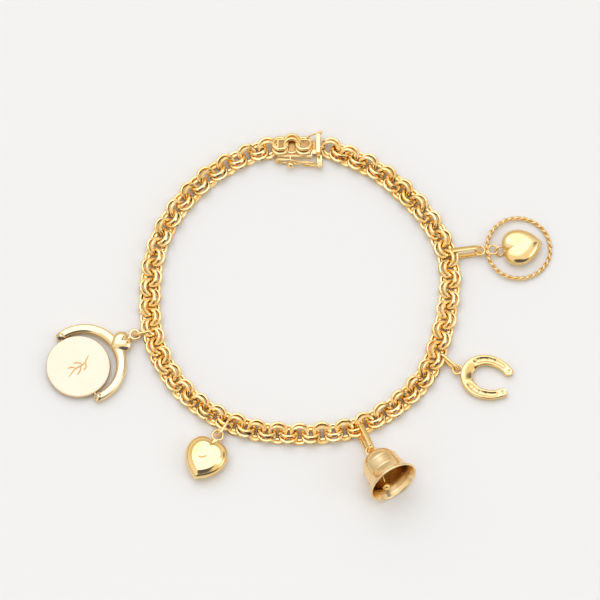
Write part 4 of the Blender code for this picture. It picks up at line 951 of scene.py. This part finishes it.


# Painted shade: a darker gold on the skin inside the bell, where its hollow lies in shade.
bell_inside_painted_shade = turned_finish("bell_inside_painted_shade", (0.72, 0.47, 0.20, 1.0), (0.58, 0.35, 0.13, 1.0), 0.26, *BELL_PLACE)
metal("bell_inner_shade_skin", moved([inner_shade_skin()], *shell_place), bell_inside_painted_shade, "bracelet")
clapper_shapes = [
    ring((0.0, 0.0, 0.0), *CLAPPER_EYE, (1.0, 0.0, 0.0), (0.0, 0.0, 1.0)),
    rod((0.0, 0.0, -CLAPPER_EYE[0]), (0.0, 0.0, -CLAPPER_LENGTH), CLAPPER_ROD),
    ball((0.0, 0.0, -CLAPPER_LENGTH), CLAPPER_BALL),
]
clapper_shapes = moved(clapper_shapes, UP * BAR_HEIGHT, BAR_HEADING, CLAPPER_LEAN)
metal("clapper_weight", moved(clapper_shapes, *BELL_PLACE), ring_gold, "clapper",
      ("bell_clapper",))
strap_section = oblong(STRAP_THICKNESS, STRAP, STRAP_CORNER, 3)
bell_eye = laid(UP * BELL_EYE_HEIGHT, *BELL_PLACE)
hang("bell_strap_bail", "bell_bail", BELL_HOLD, bell_eye, BELL_BAIL_WIDTH, strap_section, STRAP_LEAN)

# ---- Horseshoe
# A cast gold horseshoe: a thick rounded band, broad at its toe, with a groove and nail dimples
# along each branch and a raised heel block with a hole at each end. An eye is soldered to its
# toe and hangs on a stretched ring.
SHOE_PLACE = (np.array((31.461, -11.1414, 0.35)) * MM, -15.3, 1.8166)
SHOE_HOLD = (28.061 * MM, -8.1414 * MM, 1.225 * MM)
SHOE_MIDDLE = 0.67 * MM
SHOE_BAND = (2.45 * MM, 1.65 * MM)
SHOE_THICKNESS = 1.3 * MM
SHOE_REACH = (4.12 * MM, 5.0 * MM)
SHOE_HALF_SPREAD = 3.55 * MM
SHOE_HEEL_ANGLE = 28.6
SHOE_EYE = (0.9 * MM, 0.5 * MM)
SHOE_CENTRE = 6.075 * MM
SHOE_STATIONS = 181
SHOE_COLUMNS = 40
SHOE_SLOPE_TO = 0.30  # the rest are shares of a branch, from its toe to its tip
SHOE_GROOVE = (0.24, 0.85)
NAIL_PLACES = (0.40, 0.53, 0.66)
SHOE_HEEL_FROM = 0.86
SHOE_HOLE_AT = 0.93
SHOE_TIP_FROM = 0.965
SHOE_DIMPLE = 0.018
SHOE_GROOVE_DEPTH = 0.50  # depths and rises are shares of the half thickness
NAIL_DEPTH = 0.12
SHOE_HOLE_DEPTH = 0.5
SHOE_SLOPE_DEPTH = 0.42
SHOE_HEEL_RISE = 0.12
SHOE_RING_WIDTH = 1.5 * MM
SHOE_RING_WIRE = 0.66 * MM
SHOE_RING_LEAN = 80.0


def horseshoe_band():
    """A grid along the branches and round the band. Along: an ellipse from heel to heel, longer
    past the middle. Round: (cos to the power 0.6, sin to the power 0.45). The top is that dome
    minus the groove with its nail dimples, the toe's slope and the holes, plus the heel blocks."""
    share = np.linspace(-1.0, 1.0, SHOE_STATIONS)
    turn = np.pi - share * (np.pi - np.radians(SHOE_HEEL_ANGLE))
    blend = np.clip(np.cos(turn) * 1.5 + 0.5, 0.0, 1.0)
    reach = SHOE_REACH[0] + (SHOE_REACH[1] - SHOE_REACH[0]) * blend * blend * (3 - 2 * blend)
    spot = np.stack((SHOE_CENTRE + reach * np.cos(turn), SHOE_HALF_SPREAD * np.sin(turn),
                     np.full(SHOE_STATIONS, SHOE_MIDDLE)), -1)
    ahead = np.gradient(spot, axis=0)
    ahead = ahead / np.linalg.norm(ahead, axis=1)[:, None]
    out = np.stack((-ahead[:, 1], ahead[:, 0], np.zeros(SHOE_STATIONS)), -1)
    far = np.abs(share)
    heel = np.clip((far - SHOE_HEEL_FROM) * 30.0, 0.0, 1.0)
    tip = np.clip((far - SHOE_TIP_FROM) / 0.035, 0.0, 1.0)
    ends = np.sqrt(np.clip(1.0 - tip ** 2, 0.12, 1.0))
    half_band = (SHOE_BAND[0] + (SHOE_BAND[1] - SHOE_BAND[0]) * far ** 1.3) / 2 * (1.0 + 0.08 * heel) * ends
    around = np.linspace(0.0, 2 * np.pi, SHOE_COLUMNS, endpoint=False)
    u = np.sign(np.cos(around)) * np.abs(np.cos(around)) ** 0.6
    v = np.sign(np.sin(around)) * np.abs(np.sin(around)) ** 0.45
    starts = np.clip((far - SHOE_GROOVE[0]) * 14.0, 0.0, 1.0)
    stops = np.clip((SHOE_GROOVE[1] - far) * 25.0, 0.0, 1.0)
    groove = starts * stops
    nails = sum(np.exp(-((far - place) / SHOE_DIMPLE) ** 2) for place in NAIL_PLACES)
    hole = np.exp(-((far - SHOE_HOLE_AT) / SHOE_DIMPLE) ** 2)
    deep = SHOE_GROOVE_DEPTH + NAIL_DEPTH * nails[:, None]
    cut = groove[:, None] * deep * np.exp(-(u[None] / 0.42) ** 4)
    toe = np.clip((SHOE_SLOPE_TO - far) * 8.0, 0.0, 1.0)
    cut = cut + SHOE_SLOPE_DEPTH * toe[:, None] * np.clip(0.45 - u[None], 0.0, 1.25)
    cut = cut + SHOE_HOLE_DEPTH * hole[:, None] * np.exp(-(u[None] / 0.36) ** 2)
    top = np.where(v[None] > 0, np.abs(v[None]) ** 0.5, 0.0)
    height = v[None] + top * (SHOE_HEEL_RISE * heel[:, None] - cut)
    width = np.broadcast_to(u, height.shape) * half_band[:, None]
    section = np.stack((width, height * SHOE_THICKNESS / 2), -1)
    return swept(spot, out, section, up=np.broadcast_to(UP, out.shape))


cast_gold = gold_finish("cast_gold", BRIGHT_GOLD, DEEP_GOLD, 0.09, 0.10, 0.25)
shoe_shapes = [horseshoe_band(), ring((0.0, 0.0, SHOE_MIDDLE), *SHOE_EYE)]
metal("horseshoe_cast", moved(shoe_shapes, *SHOE_PLACE), cast_gold, "bracelet",
      ("horseshoe",), 60.0)
shoe_eye = laid(UP * SHOE_MIDDLE, *SHOE_PLACE)
hang("horseshoe_ring", "horseshoe_bail", SHOE_HOLD, shoe_eye, SHOE_RING_WIDTH, round_section(SHOE_RING_WIRE),
     SHOE_RING_LEAN)

# ---- Rope hoop and small heart
# A hoop twisted from two gold wires, with an eye soldered outside it for the strap bail and one
# inside it for the small puffed heart. The heart is a smooth dome with a crease at its cleft.
HOOP_PLACE = (np.array((36.111, 13.8586, 0.75)) * MM, 4.3, 3.004)
HOOP_HOLD = (30.161 * MM, 13.0586 * MM, 1.29 * MM)
HOOP_MIDDLE = 0.36 * MM
HOOP_CENTRE = 7.75 * MM
HOOP_RADIUS = 6.36 * MM
HOOP_TWISTS = 15
HOOP_STRAND = 0.45 * MM
HOOP_STRAND_OFFSET = 0.24 * MM
HOOP_EYE = (0.92 * MM, 0.46 * MM)
HOOP_BAIL_RISE = 0.18 * MM
HOOP_BAIL_WIDTH = 1.85 * MM
INNER_EYE = (0.95 * MM, 0.42 * MM)
INNER_EYE_AT = 2.55 * MM
SMALL_PLACE = (3.95 * MM, -0.42 * MM, 0.0)
SMALL_HEADING = 9.0
SMALL_SIZE = (7.5 * MM, 7.36 * MM)
SMALL_SHIFT = -0.24 * MM
SMALL_HALF = 1.5 * MM
SMALL_DOME = np.array((  # share of the half height, share of the outline
    (1.0, 0.04), (0.992, 0.18), (0.97, 0.34), (0.93, 0.49), (0.87, 0.62), (0.78, 0.74), (0.66, 0.84),
    (0.50, 0.92), (0.32, 0.97), (0.15, 0.993), (0.0, 1.0),
))
SMALL_HEIGHT = 1.225 * MM
SMALL_EYE = (0.92 * MM, 0.46 * MM)
SMALL_EYE_LEAN = 42.0
SMALL_EYE_LAP = 0.22 * MM
SMALL_STEM = (1.35 * MM, 0.64 * MM)  # its reach into the heart, its diameter
SMALL_VALLEY = 0.14


def rope_strand(phase):
    """One strand, a helix about the hoop's circle: circle point + offset (out cos lay + up sin lay),
    where the lay turns once for each twist."""
    turn = np.linspace(0.0, 2 * np.pi, HOOP_TWISTS * 16, endpoint=False)
    lay = turn * HOOP_TWISTS + phase
    out = round_about(turn)
    radial = out * np.cos(lay)[:, None] + UP * np.sin(lay)[:, None]
    path = np.array((HOOP_CENTRE, 0.0, HOOP_MIDDLE)) + out * HOOP_RADIUS + radial * HOOP_STRAND_OFFSET
    return swept(path, radial, round_section(HOOP_STRAND, 10), True)


hoop_gold = gold_finish("hoop_gold", BRIGHT_GOLD, DEEP_GOLD, 0.08, 0.10, 0.08)
hoop_shapes = [
    rope_strand(0.0), rope_strand(np.pi),
    ring((0.0, 0.0, HOOP_MIDDLE), *HOOP_EYE),
    ring((INNER_EYE_AT, 0.0, HOOP_MIDDLE), *INNER_EYE),
]
metal("rope_hoop_strands", moved(hoop_shapes, *HOOP_PLACE), hoop_gold, "bracelet",
      ("rope_hoop",))

small_profile = SMALL_DOME * (SMALL_HALF, 1.0)
small_profile = np.vstack((small_profile * (-1.0, 1.0), small_profile[-2::-1]))
small_cleft = SMALL_EYE[0] + SMALL_EYE[1] / 2 + SMALL_SIZE[1] * HEART_CLEFT / 2 - SMALL_EYE_LAP
eye_lean = np.radians(SMALL_EYE_LEAN)
small_heart = heart_body(*SMALL_SIZE, small_profile, SMALL_VALLEY)
small_shapes = moved([small_heart], (small_cleft, SMALL_SHIFT, SMALL_HEIGHT))
small_shapes.append(ring((0.0, 0.0, HOOP_MIDDLE), *SMALL_EYE, (1.0, 0.0, 0.0),
                         (0.0, np.cos(eye_lean), np.sin(eye_lean))))
small_shapes.append(rod((SMALL_EYE[0], 0.0, HOOP_MIDDLE), (small_cleft + SMALL_STEM[0], 0.0, SMALL_HEIGHT),
                        SMALL_STEM[1]))
small_shapes = moved(moved(small_shapes, SMALL_PLACE, SMALL_HEADING), *HOOP_PLACE)
metal("small_puffed_heart", small_shapes, heart_gold, "bracelet", ("hoop_heart",), 50.0)
hoop_eye = laid(UP * HOOP_MIDDLE, *HOOP_PLACE) + UP * HOOP_BAIL_RISE
hang("hoop_strap_bail", "hoop_bail", HOOP_HOLD, hoop_eye, HOOP_BAIL_WIDTH, strap_section, STRAP_LEAN)
